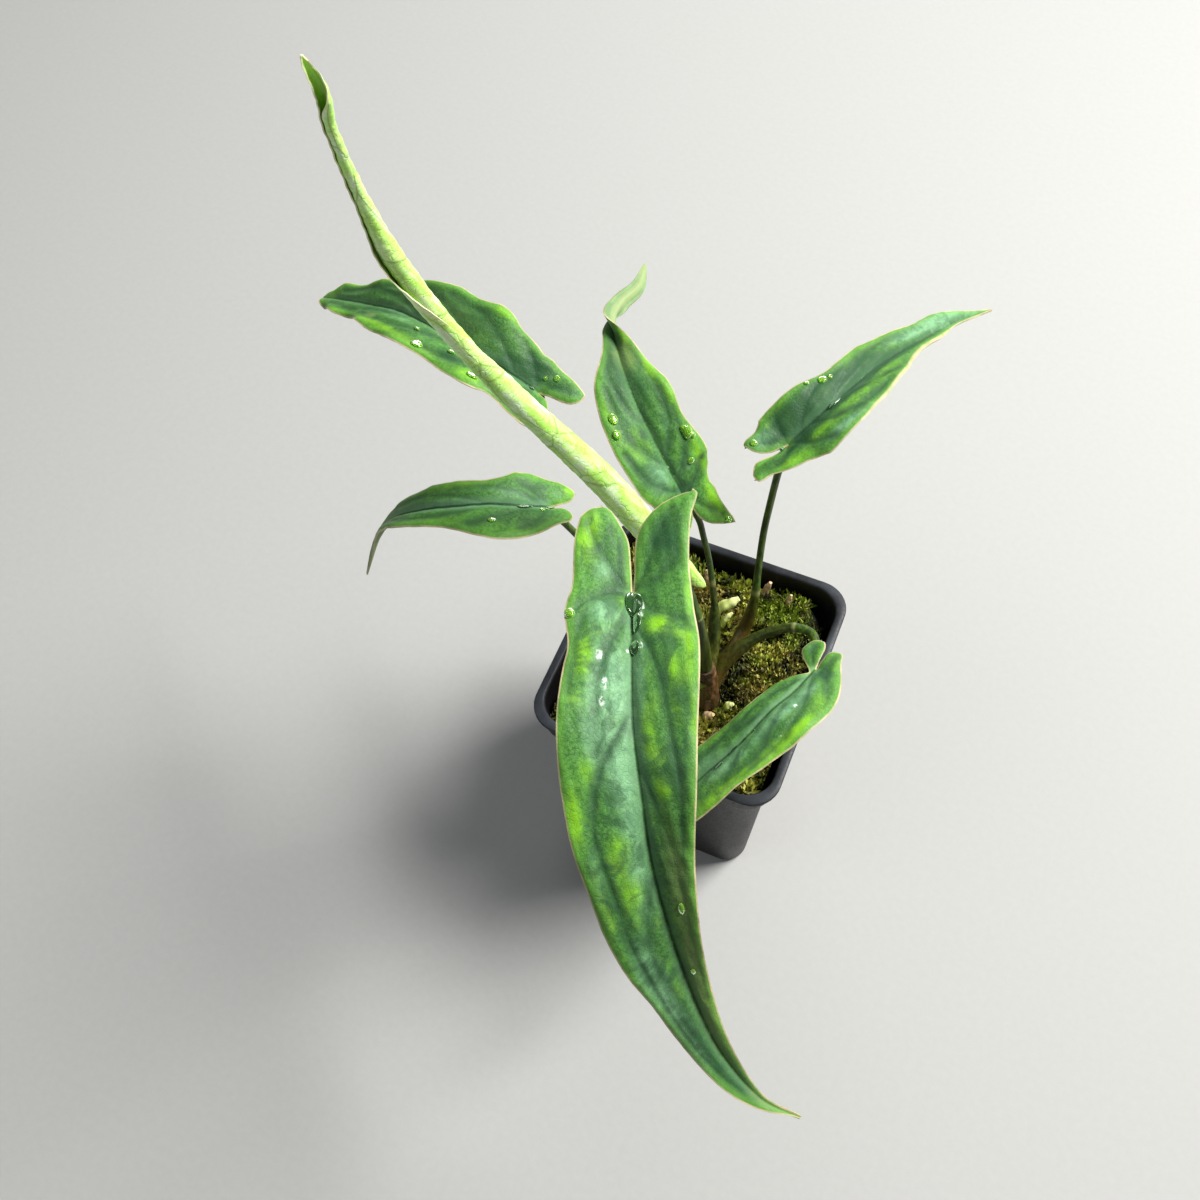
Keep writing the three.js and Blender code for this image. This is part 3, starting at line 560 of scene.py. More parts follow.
# %% Numbers of the middle back leaf
LEAVES["middle_back"] = {
    "lobe_lift": 0.2, "waves": (3, 0.5, 100), "mottle": 0.7, "rib_line": 0.35,
    "stations": [(-8, 12.5, 150, 0, 8), (-13, 14.2, 158, 0, 10), (-19.5, 18, 165, 0, 10),
        (-26.5, 23.5, 170, 0, 10), (-34.5, 33, 172, 0, 14), (-41, 44, 171, 82, 48),
        (-42.3, 52.5, 169, 146, 18), (-41, 61, 167, 158, 10), (-42.5, 69.5, 166, 150, 10)],
    "stalk": [(8, -9.5, 93, 1.8), (6.4, -0.2, 98.5, 1.8), (4.8, 4.1, 105, 1.75), (3.3, 7.2, 112, 1),
        (-0.2, 11.5, 124, 0.85), (-3, 13.2, 134, 0.85), (-4.8, 13.3, 142, 0.85)],
    "outline": {
        1: [(-13.2, 7.4), (-12.8, 7.8), (-11.5, 8), (-9, 7.8), (-5, 7.9), (-2, 8.4), (1, 8.3), (5, 10.5),
            (8, 11.4), (11, 11.6), (14, 11.2), (18, 10.2), (22, 9.4), (26, 9.7), (29, 9.9), (33, 9.4),
            (37, 8), (42, 6), (47, 4.4), (52, 3.5), (57, 3.1), (64, 2.7), (73, 2.1), (79, 1.1), (82.2, 0.3)],
        -1: [(-6.3, 5.2), (-6, 6.2), (-5, 7.2), (-3, 7.8), (0, 8.2), (4, 9.4), (7, 10.3), (10, 11.4),
            (20, 11.9), (25, 11.3), (30, 10.3), (35, 9.3), (38, 8), (42, 5.5), (46, 3.8), (50, 2.9),
            (54, 2.9), (58, 2.8), (64, 2.7), (73, 2.1), (79, 1.1), (82.2, 0.3)],
    },
    "sinus": {
        1: [(-13.2, 7.4), (-12.8, 6.6), (-11, 4), (-9, 1.8), (-6, 0.4), (0, 0)],
        -1: [(-6.3, 5.2), (-6, 3.6), (-5, 1.9), (-3.8, 0.7), (-2.2, 0.35), (0, 0)],
    },
    "veins": [(0.9, [(1.5, 0.8), (4, 5), (8, 8.8)]), (0.8, [(7, 0.6), (11, 4.2), (16, 6.8), (24, 7.3)]),
        (0.6, [(14, 0.8), (19, 4.2), (25, 6.2), (34, 5.6), (44, 3)]), (0.6, [(-0.4, 0.8), (-4, 3), (-9, 6)]),
        (0.9, [(4, -0.8), (7, -4), (12, -7.6), (19, -9.6)]),
        (0.7, [(12, -0.6), (17, -4), (24, -6.7), (34, -6)]),
        (0.6, [(24, -0.5), (30, -3.4), (38, -4.6), (46, -2.6)]), (0.5, [(-0.4, -0.8), (-4, -3), (-8, -5)])],
    "bright": [(-9, 6, 4.5, 2, 1), (-2, 6.5, 3.5, 1.8, 0.8), (6, 9, 4, 2, 0.65), (12, 8.5, 4, 1.8, 0.5),
        (28, 8.5, 5, 1.5, 0.6), (38, 6.2, 6, 1.6, 1), (19, -6, 3.5, 2.8, 0.45), (29, -8, 4, 1.6, 0.5),
        (10, -10, 5, 1.2, 0.3), (46, 3, 5, 1.2, 0.8), (-5, 3, 3, 1.5, 0.4), (55, 0, 4, 2, 0.9)],
    "dark": [(3, 1.5, 3, 2.5, 0.9), (12, 0.8, 8, 0.8, 0.7), (21.5, -2.5, 2, 1.4, 0.8), (32, 2.5, 8, 2, 0.6),
        (38, -2, 8, 3, 0.6), (46, -1, 6, 2, 0.8), (31, -3, 5, 2, 0.3)],
    "silver_sheen": [(11, -4, 5, 4, 0.9), (26, -5, 4, 3, 0.4), (9, 4, 3, 2.2, 0.5), (22, 4, 5, 2, 0.4),
        (62, 0, 7, 2, 0.7), (72, 0, 10, 2, 1)],
    "olive": [(43, 1, 6, 3.5, 0.9)],
    "chalk": [(8, 0.2, 0.6, 0.3, 0.6), (11, 0.1, 0.6, 0.3, 0.7), (14, 0.2, 0.5, 0.3, 0.6)],
    "drops": [(17, 7.9, 2.2, 1.2, 0.9, -0.9), (15.4, 9.2, 0.9, 0.8, 0.7, 0), (-11, 6.2, 0.8, 0.8, 0.6, 0),
        (9.5, 5.6, 0.9, 0.9, 0.6, 0), (24.3, -8.8, 1.1, 1.1, 0.7, 0), (27.5, -7.6, 1.2, 1.2, 0.7, 0)],
}
print("middle back", len(LEAVES["middle_back"]["stations"]), "stations")

# %% [markdown]
# ## The left back leaf
# A plain green leaf with an olive cast, and the one whose edges wave the most.

# %% Numbers of the left back leaf
LEAVES["back_left"] = {
    "lobe_lift": 0.15, "waves": (5, 0.9, 0), "mottle": 0.25, "rib_line": 0.7,
    "stations": [(-41.5, 3.5, 190, 0, 16), (-52, 4, 195, 0, 18), (-65.5, 6.5, 196, 0, 18),
        (-81.5, 12, 192, 2, 18), (-94.5, 15.5, 186, 3, 16), (-106, 18.5, 180, 2, 12),
        (-113, 20.3, 176, 0, 10)],
    "stalk": [(8, -10, 103, 1.7), (5.1, -6.5, 105, 1.6), (-3.5, 1.7, 117, 1.4), (-17, 6.1, 137, 1.2),
        (-29.4, 4.9, 156, 1.1), (-39.4, 3.9, 176, 1)],
    "outline": {
        1: [(-9.2, 4), (-8.8, 5), (-6, 6.3), (-3, 7), (1, 7.9), (4, 7.7), (6, 8.8), (9, 10), (12, 10.8),
            (15, 12), (18, 12.2), (22, 11.8), (30, 12.2), (34, 11.4), (37, 10.4), (40, 9.9), (54, 7.3),
            (58, 6.7), (61, 6.5), (64, 6.2), (67, 5.6), (70, 5), (73, 4.4), (76, 3.7), (78.2, 2.6),
            (79.3, 0.3)],
        -1: [(-4.6, 8), (-4.2, 10), (-2.5, 11.8), (0, 12.4), (4, 11.4), (7, 10.2), (10, 10.1), (12, 11.4),
            (15, 11.7), (20, 10.8), (24, 10.2), (30, 11), (34, 11), (40, 10.3), (45, 10.2), (50, 9),
            (55, 7.2), (60, 6.3), (65, 6.4), (68, 5.6), (72, 4.5), (76, 3.2), (78.2, 2), (79.3, 0.3)],
    },
    "sinus": {
        1: [(-9.2, 4), (-8.7, 2.4), (-7, 0.9), (-4, 0.35), (0, 0)],
        -1: [(-4.6, 8), (-4.2, 5.4), (-2.8, 2.2), (-1.2, 0.5), (0, 0)],
    },
    "veins": [(0.8, [(1.5, 0.8), (5, 4.6), (10, 8.5)]), (0.7, [(8, 0.8), (14, 5), (22, 8.4), (32, 8.6)]),
        (0.6, [(20, 0.8), (28, 4.8), (40, 7), (54, 5)]), (0.5, [(38, 0.6), (46, 3), (58, 4.2), (70, 2.4)]),
        (0.5, [(-0.4, 0.8), (-3, 3), (-7, 4.4)]), (0.7, [(2, -0.8), (5, -4.5), (10, -8.5)]),
        (0.7, [(9, -0.7), (15, -4.6), (24, -7.6), (36, -7.6)]),
        (0.6, [(22, -0.6), (30, -3.6), (42, -6), (54, -5.4)]),
        (0.5, [(40, -0.6), (50, -2.6), (62, -3.6), (72, -2)])],
    "bright": [(16, 10.8, 3.5, 1.2, 0.8), (32, -8.5, 10, 1.6, 0.8), (46, -7.5, 8, 1.6, 0.6),
        (62, 5.5, 6, 1.6, 0.6), (76, 2, 4, 3, 0.8), (64, -5.5, 8, 1.2, 0.5), (14, -9, 4, 2, 0.6)],
    "dark": [(3, 4, 5, 3.5, 0.9), (8, 1, 5, 2, 1), (20, 5, 10, 4, 0.6), (21, -6, 3.5, 2, 0.7),
        (35, 6, 10, 4, 0.5), (50, -1, 14, 2, 0.6), (-4, 2, 3, 2, 0.5)],
    "silver_sheen": [(-7.5, 4, 1.8, 1.5, 0.8), (40, -3, 9, 1.8, 0.5), (28, -4, 5, 2, 0.3), (25, 9, 6, 2, 0.2),
        (0, -12, 2, 1.5, 0.4)],
    "olive": [(48.5, -5.5, 1.6, 0.8, 1.4), (30, 4, 20, 6, 0.45)],
    "drops": [(-1.5, 4.5, 0.75, 0.75, 0.5, 0), (0.8, 3, 0.5, 0.5, 0.35, 0), (2.2, -0.3, 0.7, 0.5, 0.5, 0),
        (21, -4.7, 0.8, 0.55, 0.5, 0), (27.5, -8, 1.3, 1.1, 0.7, 0), (32.5, -3.5, 0.8, 0.5, 0.5, 0),
        (13.5, -8.5, 1.2, 0.8, 0.6, 0)],
}
print("back left", len(LEAVES["back_left"]["stations"]), "stations")

# %% [markdown]
# ## The left leaf
# This leaf narrows early and droops at its end. A dark line marks its midrib.

# %% Numbers of the left leaf
LEAVES["left"] = {
    "lobe_lift": 0.15, "waves": (3, 0.4, 45), "mottle": 0.3, "rib_line": 1,
    "stations": [(-33, -13, 170, 0, 12), (-38.5, -17.5, 174, 0, 12), (-45, -21, 176, 0, 12),
        (-52.5, -24, 175, 0, 12), (-60.5, -25.5, 171, 0, 12), (-70.5, -26, 162, -8, 12),
        (-77.5, -27, 150, -12, 12), (-82.5, -31, 134, -12, 10)],
    "stalk": [(8, -10, 95, 1.5), (3.6, -9.4, 99, 1.4), (-8.7, -7.7, 118, 1.2), (-20.2, -9.8, 142, 1),
        (-28, -11.1, 157, 0.9)],
    "outline": {
        1: [(-6.6, 2.8), (-6.2, 3.8), (-5, 4.8), (-3, 6), (0, 7), (4, 8.3), (7, 8.6), (9, 8.7), (12, 7.6),
            (15, 6.5), (18, 6), (26, 6.4), (33, 6.6), (38, 5.7), (45, 4.6), (52, 3.4), (60, 2.4), (70, 1.4),
            (77.8, 0.3)],
        -1: [(-4.2, 3.4), (-3.9, 4.5), (-2.5, 5.6), (0, 6.2), (3, 7.5), (7, 9.6), (10, 10.8), (13, 11.4),
            (16, 11), (20, 9), (23, 7.4), (27, 6.4), (34, 6.2), (40, 6), (46, 4.8), (52, 3.4), (60, 2.3),
            (70, 1.3), (77.8, 0.3)],
    },
    "sinus": {
        1: [(-6.6, 2.8), (-6.2, 2), (-5, 0.9), (-3, 0.35), (0, 0)],
        -1: [(-4.2, 3.4), (-3.9, 2.2), (-2.6, 0.8), (-1.2, 0.35), (0, 0)],
    },
    "veins": [(0.8, [(1.5, 0.6), (4, 3.4), (9, 6)]),
        (0.6, [(4, 0.7), (8, 2.6), (14, 4), (24, 4), (36, 3.6)]),
        (0.5, [(18, 0.5), (25, 2.4), (36, 3.4), (48, 2.4)]), (0.8, [(1, -0.8), (4, -4), (9, -7.5)]),
        (0.6, [(8, -0.6), (13, -4.2), (20, -6.6)]), (0.5, [(18, -0.5), (25, -3), (36, -3.6), (48, -2.2)])],
    "bright": [(-5, 3.4, 1.6, 1.6, 1), (22, 4.8, 5, 1.3, 0.5), (-3, -4, 2, 1.5, 0.4), (12, -8.5, 6, 2, 0.3),
        (28, -4.5, 8, 1.5, 0.4), (34, 4.5, 8, 1.3, 0.5)],
    "dark": [(3, 1, 3, 1, 0.9), (15, 0, 12, 0.6, 0.9), (2, 4.5, 3, 1.8, 0.5), (6, -2.5, 4, 1.8, 0.5),
        (28, 0, 10, 0.8, 0.9)],
    "silver_sheen": [(9, 2.6, 4, 1.4, 0.6), (15, 3.4, 5, 1.2, 0.35), (48, -1, 10, 2.5, 0.35), (65, 0, 12, 3, 0.4),
        (-1.5, 2.2, 1.3, 1.3, 0.5)],
    "olive": [(60, 0, 18, 4, 0.9)],
    "chalk": [(7.4, -0.6, 1.4, 0.6, 1.1), (3.5, -1.6, 0.7, 0.5, 1), (1.6, -1.1, 0.5, 0.4, 1)],
    "drops": [(0.6, -0.5, 0.9, 0.6, 0.5, 0), (3.5, -1.8, 0.7, 0.6, 0.5, 0), (7.4, -0.6, 1.7, 0.9, 0.7, 0),
        (15, -5.8, 0.8, 0.8, 0.5, 0), (1.8, -1.3, 0.5, 0.4, 0.35, 0)],
}
print("left", len(LEAVES["left"]["stations"]), "stations")

# %% [markdown]
# ## How far it is along a leaf
# The tables count in millimetres and the curves in stations, so each leaf also keeps the distance to
# every point of its midrib. Reading it off the curve is surer than writing it down by hand.

# %% Measure the midribs
for name, leaf in LEAVES.items():
    leaf["stations"] = np.array(leaf["stations"], float)
    leaf["stalk"] = np.array(leaf["stalk"], float)
    leaf["far"], leaf["ts"] = run_lengths(leaf["stations"])
    print(f"{name}: midrib {leaf['far'][-1]:.1f} mm, {len(leaf['veins'])} side veins")

# %% [markdown]
# ## Lines and patches on a leaf
# Everything on a leaf is near something: an edge, a vein, a patch of colour. It could be painted by hand,
# but the tables already say where each line runs, so a few functions measure the distances.

# %% Distances and amounts
VEIN_WIDTH = 0.42
VEIN_FADE = 0.6
PATCH_LIMIT = 1.6
PATCHES = ("bright", "dark", "silver_sheen", "olive", "chalk", "pale_edge")


def drawn_line(points, pieces):
    """A smooth line through points of two numbers, with so many pieces between each two."""
    rows = np.array(points, float)
    return np.array([along(rows, t) for t in np.linspace(0, len(rows) - 1, pieces * (len(rows) - 1))])


def edge_at(points, s):
    line = drawn_line(points, 12)
    return np.interp(s, np.maximum.accumulate(line[:, 0]), line[:, 1])


def reach_of_line(line, s, x):
    """Distance from each (s, x) to a line of points."""
    best = np.full(len(s), np.inf)
    for a, b in zip(line[:-1], line[1:]):
        way = b - a
        share = ((s - a[0]) * way[0] + (x - a[1]) * way[1]) / max(way @ way, 1e-12)
        share = np.clip(share, 0, 1)
        best = np.minimum(best, np.hypot(s - a[0] - share * way[0], x - a[1] - share * way[1]))
    return best


def vein_fields(leaf, s, x):
    """How much of a vein there is at each (s, x), and how far off the nearest one is."""
    depth, nearest = np.zeros(len(s)), np.abs(x) + np.maximum(-s, 0)
    for strength, points in leaf["veins"]:
        line = drawn_line(points, 6)
        far = reach_of_line(line, s, x)
        gone = np.clip(np.abs(s - line[0, 0]) / (abs(line[-1, 0] - line[0, 0]) + 1), 0, 1)
        depth = np.maximum(depth, strength * (1 - VEIN_FADE * gone) * hump(far, VEIN_WIDTH))
        nearest = np.minimum(nearest, far)
    return depth, nearest


def patches(rows, s, x):
    total = np.zeros(len(s))
    for s0, x0, reach_s, reach_x, amount in rows:
        total += amount * np.exp(-((s - s0) / reach_s) ** 2 - ((x - x0) / reach_x) ** 2)
    return np.clip(total, 0, PATCH_LIMIT)


depth, nearest = vein_fields(LEAVES["front"], np.array([20.0]), np.array([4.0]))
print("20 mm along the front leaf and 4 mm out, the nearest vein is", round(nearest[0], 2), "mm off")

# %% [markdown]
# ## A leaf's own surface
# A leaf like this is one soft sheet: sunk along the midrib and the side veins, quilted up between them,
# with a thin turned edge. It could be sculpted or displaced by a texture, but then nothing would know
# where its veins run. So one function gives the sheet's place at any distance along and out from the
# midrib, and everything that sits on the leaf uses it: the mesh, the veins, the drops of water.

# %% Places on a leaf
LEAF_THICKNESS = 0.6
RIB_THICKNESS = 1.15
RIB_SINK, RIB_HALF_WIDTH = 0.5, 0.85
VEIN_SINK = 0.2
QUILT_HEIGHT, QUILT_REACH = 0.34, 1.7
SWELL_PER_WIDTH = 0.035
BLISTER_HEIGHT = 0.1
MARGIN_CURL, CURL_REACH = 0.35, 1.4


def leaf_relief(leaf, s, x, from_edge, width):
    """Height of the fine forms over the plain folded sheet, in mm."""
    depth, nearest = vein_fields(leaf, s, x)
    towards_tip = np.clip(1 - s / leaf["far"][-1], 0.05, 1)
    rib = hump(x, RIB_HALF_WIDTH) * np.clip(s + 2, 0, 1) * towards_tip ** 0.5
    quilt = QUILT_HEIGHT * (1 - hump(nearest, QUILT_REACH)) * np.clip(from_edge / 2, 0, 1)
    across = np.clip(np.abs(x) / np.maximum(width, 0.5), 0, 1)
    swell = SWELL_PER_WIDTH * width * np.sin(np.pi * across)
    bumps = np.sin(0.9 * s + 1.3 * x) * np.sin(0.47 * s - 1.1 * x + 1)
    blister = BLISTER_HEIGHT * bumps * np.clip(width / 8, 0, 1)
    curl = -MARGIN_CURL * np.clip(1 - from_edge / CURL_REACH, 0, 1) ** 2 * np.clip(width / 4, 0, 1)
    return quilt + swell + blister + curl - RIB_SINK * rib - VEIN_SINK * depth


def leaf_points(leaf, s, x, inner, outer, relief=0.0):
    """Places in mm on a leaf's upper side, and the upper normals. Corners with the same s go together."""
    count, height, start = leaf["waves"]
    last = len(leaf["stations"]) - 1
    share = np.clip((np.abs(x) - inner) / np.maximum(outer - inner, 0.05), 0, 1)
    places, normals = np.zeros((len(s), 3)), np.zeros((len(s), 3))
    levels, index = np.unique(np.round(s, 5), return_inverse=True)
    relief = np.broadcast_to(relief, s.shape)
    for k, level in enumerate(levels):
        on = index == k
        t = np.interp(max(level, 0), leaf["far"], leaf["ts"])
        behind = max(-level, 0)
        row, ahead = along(leaf["stations"], t), heading(leaf["stations"], t)
        side, normal = cross_frame(ahead, np.array([0, 0, 1.0]), row[3])
        fold = math.radians(row[4])
        ripple = np.sin(2 * math.pi * count * t / last + math.radians(start) + np.where(x[on] > 0, 0, 2))
        lift = (np.abs(x[on]) * math.sin(fold) + behind * leaf["lobe_lift"] + LEAF_THICKNESS / 2
                + height * ripple * share[on] * np.minimum(share[on], np.abs(x[on]) / 5) + relief[on])
        places[on] = (row[:3] - ahead * behind + np.outer(x[on] * math.cos(fold), side)
                      + np.outer(lift, normal))
        normals[on] = normal
    return places, normals


zero = np.zeros(1)
foot, _ = leaf_points(LEAVES["front"], zero, zero, zero, zero + 1)
print("the front leaf starts at", np.round(foot[0], 1), "mm")

# %% [markdown]
# ## From two grids to one leaf
# Each half is a flat grid that is drawn out from the midrib to the edge. One grid for the whole leaf
# would crease where the lobes part. The halves are joined, and a Solidify modifier adds the underside
# and the rim, thicker at the midrib and thin at the edge.

# %% Shape a leaf
LOBE_ROWS = 1.5
CROWDING = 0.45
WEIGHT_STEPS = 40
WELD_GAP = 0.004


def half_leaf(name, leaf, sign, columns, spacing):
    """One half of a leaf, from its lobe's tip to the leaf's tip, as a shaped grid."""
    outline, sinus = leaf["outline"][sign], leaf["sinus"][sign]
    lobe, length = -outline[0][0], leaf["far"][-1]
    lobe_rows, main_rows = int(LOBE_ROWS * lobe / spacing), int(length / spacing)
    rows = lobe_rows + main_rows
    piece, across, up = sheet(f"{name}_half", columns, rows)
    r = np.rint(up * rows)
    s = np.where(r < lobe_rows, -lobe * np.cos(r / lobe_rows * math.pi / 2),
                 (r - lobe_rows) / main_rows * length)
    s = np.where(np.abs(s) < 1e-9, 0, s)
    inner = np.where(s < 0, edge_at(sinus, s), 0)
    outer = np.where(r == 0, inner, np.maximum(edge_at(outline, s), inner))
    # Columns crowd towards the midrib and towards the edge.
    share = (1 - CROWDING) * across + CROWDING * (0.5 - 0.5 * np.cos(math.pi * across))
    out = inner + (outer - inner) * share
    x = sign * out
    border = np.vstack([drawn_line(sinus, 10)[::-1], drawn_line(outline, 10)])
    from_edge = reach_of_line(border, s, out)
    relief = leaf_relief(leaf, s, x, from_edge, outer)
    place_corners(piece, leaf_points(leaf, s, x, inner, outer, relief)[0] * MM)
    depth, nearest = vein_fields(leaf, s, x)
    fields = {"along": s, "across": x, "from_edge": from_edge, "vein": depth, "between": nearest,
              "mottle": leaf["mottle"], "rib_line": leaf["rib_line"]}
    fields.update({kind: patches(leaf.get(kind, []), s, x) for kind in PATCHES})
    for field, values in fields.items():
        paint(piece, field, values)
    if sign < 0:
        mend(piece, flip=True)
    return piece


def thicken(piece, weights, thickness):
    """Gives a sheet its underside and its rim, each with a material of its own."""
    group = piece.vertex_groups.new(name="thickness")
    steps = np.rint(weights * WEIGHT_STEPS).astype(int)
    for step in np.unique(steps):
        group.add(np.flatnonzero(steps == step).tolist(), step / WEIGHT_STEPS, "REPLACE")
    solid = piece.modifiers.new("Thickness", "SOLIDIFY")
    solid.thickness = thickness * MM
    solid.offset = -1
    solid.vertex_group = group.name
    solid.material_offset = 1
    solid.material_offset_rim = 2
    apply_all(piece)
    piece.vertex_groups.clear()


def open_leaf(name, leaf, materials, columns, spacing):
    piece = join(f"leaf_{name}", [half_leaf(name, leaf, sign, columns, spacing) for sign in (1, -1)])
    mend(piece, WELD_GAP)
    for material in materials:
        piece.data.materials.append(material)
    s, x, edge = (read_field(piece, field) for field in ("along", "across", "from_edge"))
    rib = hump(x, 1.0) * np.clip(1 - s / leaf["far"][-1], 0, 1) * (s > -1)
    thick = LEAF_THICKNESS * (0.7 + 0.3 * np.clip(edge / 1.5, 0, 1)) + (RIB_THICKNESS - LEAF_THICKNESS) * rib
    thicken(piece, thick / RIB_THICKNESS, RIB_THICKNESS)
    smooth(piece)
    return piece


print("leaf halves will be painted with", len(PATCHES), "kinds of patches")

# %% [markdown]
# ## The leaf's skin
# On the real plant the upper side is velvety: deep green, mottled with yellow-green between the veins. A pale
# grey-green sheen along the midrib and in patches is painted into the colour, as are shade beside the sunk
# veins, light caught by the curled margin and glints on pooled water. A photograph could be projected on it,
# but it would only fit one view. The fields kept on the corners say where each tone belongs, and noise breaks
# up their edges.

# %% The upper side
def shaken(net, scale, far):
    """Object coordinates shaken by noise, so that a net of cells gets crooked walls."""
    noise = net.nodes.new("ShaderNodeTexNoise")
    noise.inputs["Scale"].default_value = scale
    net.links.new(net.where, noise.inputs["Vector"])
    shift = net.nodes.new("ShaderNodeVectorMath")
    shift.operation = "MULTIPLY_ADD"
    net.links.new(noise.outputs["Color"], shift.inputs[0])
    shift.inputs[1].default_value = (far, far, far)
    net.links.new(net.where, shift.inputs[2])
    return shift.outputs[0]


def leaf_top_material():
    net = Network("leaf_top", Sheen_Weight=0.01, Sheen_Roughness=0.4, Specular_IOR_Level=0.22,
                  Subsurface_Weight=0.06, Subsurface_Scale=0.0008, Subsurface_Radius=(0.5, 1.0, 0.25))
    blotch, fine = net.noise(170, 4, 0.6), net.noise(900)
    streak, speck = net.noise(420, 3, 0.55, 1.2), net.noise(1500, 4, 0.7)
    mesh = net.walls(880, shaken(net, 700, 0.0009))
    mottle, rib_line = net.field("mottle"), net.field("rib_line")
    unrest = net.math("MULTIPLY_ADD", net.math("SUBTRACT", blotch, 0.5), 1.1,
                      net.times(net.math("SUBTRACT", streak, 0.5), 0.9))

    def share(name, low, high, top=1.0):
        """A patch from the leaf's table, with an edge that noise has frayed."""
        amount = net.field(name)
        return net.ramp(net.math("MULTIPLY_ADD", unrest, amount, amount), low, high, 0, top)

    # The ground: two greens in blotches, streaks and specks.
    net.ground(blotch, 0.34, 0.66, (0.03, 0.112, 0.022), (0.066, 0.215, 0.034))
    net.layer((0.1, 0.31, 0.044), streak, 0.46, 0.72, 0, 0.55)
    net.layer((0.125, 0.29, 0.062), speck, 0.42, 0.66, 0, 0.55)
    net.layer((0.02, 0.085, 0.02), speck, 0.32, 0.5, 0.6, 0)

    # Clouds of yellow-green between the veins, then the patches that the tables give.
    inside = net.ramp(net.field("from_edge"), 0.8, 2.5)
    between = net.ramp(net.field("between"), 0.4, 2.4)
    cloud = net.ramp(net.noise(85, 3, 0.55, 0.6), 0.5, 0.68, 0, 0.6)
    net.layer((0.2, 0.42, 0.04), net.times(inside, between, cloud, mottle))
    # Painted sheen: pale grey-green patches where light grazes the velvety skin, with darker grey flecks in
    # them.
    net.layer((0.2, 0.41, 0.215), share("silver_sheen", 0.15, 0.95, 0.85))
    grey = net.ramp(net.noise(240, 4, 0.65, 0.8), 0.46, 0.62, 0, 0.5)
    net.layer((0.05, 0.15, 0.07), net.times(grey, share("silver_sheen", 0.1, 0.6)))
    net.layer((0.215, 0.5, 0.012), share("bright", 0.05, 1.0, 0.88))
    net.layer((0.4, 0.72, 0.11), share("bright", 1.05, 1.45, 0.7))
    # Painted shade: darker beside the sunk veins, where the quilted skin dips towards them.
    near_vein_shade = net.math("SUBTRACT", 1.0, between)
    net.layer((0.03, 0.085, 0.03), net.times(near_vein_shade, net.ramp(blotch, 0.4, 0.62, 0.25, 0.8)))
    gloom = net.noise(1.0, 4, 0.6, 1.0, net.stretched((130, 100, 130)))
    net.layer((0.03, 0.09, 0.034), net.times(net.ramp(gloom, 0.5, 0.62, 0, 0.65), mottle))
    net.layer((0.016, 0.065, 0.024), share("dark", 0.08, 0.85, 0.85))
    net.layer((0.15, 0.23, 0.062), share("olive", 0.1, 0.9, 0.75))
    # Painted highlight: a lime band along the margin, where the curled edge catches light.
    net.layer((0.17, 0.43, 0.05), net.field("from_edge"), 0.5, 2.6, 0.4, 0)
    net.layer((0.034, 0.105, 0.03), mesh, 0, 0.1, 0.2, 0)

    # Side veins, the dark line of the midrib and a pale painted sheen beside it, which both fade to the tip.
    net.layer((0.018, 0.062, 0.026), net.math("MULTIPLY", net.field("vein"), 0.75, clamp=True))
    offset, run = net.math("ABSOLUTE", net.field("across")), net.field("along")
    ahead = net.times(net.ramp(run, -1.5, 1.5), net.ramp(run, 20, 80, 1, 0.55))
    net.layer((0.016, 0.05, 0.02), net.times(net.ramp(offset, 0.06, 0.34, 0.9, 0), ahead, rib_line))
    rib_sheen = net.times(net.ramp(offset, 0.4, 2.4, 0.5, 0), rib_line, net.ramp(offset, 0.2, 0.5), ahead)
    net.layer((0.19, 0.37, 0.2), rib_sheen)

    # White specks: lime on the leaf, and painted glints of light on pooled water beside some drops. Then the
    # pale margin, painted paler where the curled edge catches light, and broken up here and there.
    chalk = net.times(share("chalk", 0.3, 0.7), net.ramp(fine, 0.45, 0.6))
    net.layer((0.62, 0.72, 0.62), chalk)
    # The margin band is the leaf's own cream edge, painted paler as a highlight where the curled edge catches
    # light.
    margin_breaks = net.ramp(net.noise(260), 0.35, 0.65, 0.55, 1)
    broad = net.math("MULTIPLY_ADD", net.field("pale_edge"), 2.0, 1.0)
    band = net.math("DIVIDE", net.field("from_edge"), broad)
    net.layer((0.52, 0.43, 0.25), net.times(net.ramp(band, 0.18, 0.48, 1, 0), margin_breaks))
    rough = net.math("ADD", net.ramp(fine, 0.3, 0.7, 0.47, 0.6), net.times(chalk, 0.2))
    return net.done(rough, net.bump(net.ramp(mesh, 0, 0.12), 0.00006, under=net.bump(fine, 0.00006)))


leaf_top = leaf_top_material()
print("upper side", len(leaf_top.node_tree.nodes), "nodes")

# %% [markdown]
# ## The underside and the rim
# Underneath a leaf is paler and duller, with raised veins that are lighter than the skin between them.
# The cut rim is creamy and browned in places. Mixing both into the upper side's material would need a
# mask for each, so they are materials of their own, which the Solidify modifier hands out.

# %% Underside and rim
def leaf_under_material():
    net = Network("leaf_underside", Sheen_Weight=0.1, Sheen_Roughness=0.5, Specular_IOR_Level=0.35)
    blotch, fine, mesh = net.noise(200, 4, 0.6), net.noise(1100), net.walls(1300)
    net.ground(blotch, 0.35, 0.65, (0.13, 0.24, 0.09), (0.19, 0.31, 0.12))
    net.layer((0.24, 0.36, 0.14), mesh, 0, 0.09, 0.3, 0)
    net.layer((0.29, 0.4, 0.17), net.math("MULTIPLY", net.field("vein"), 0.7, clamp=True))
    net.layer((0.3, 0.38, 0.16), net.math("ABSOLUTE", net.field("across")), 0.5, 1.4, 0.7, 0)
    return net.done(net.ramp(fine, 0.3, 0.7, 0.5, 0.66), net.bump(mesh, 0.00008, 0.6))


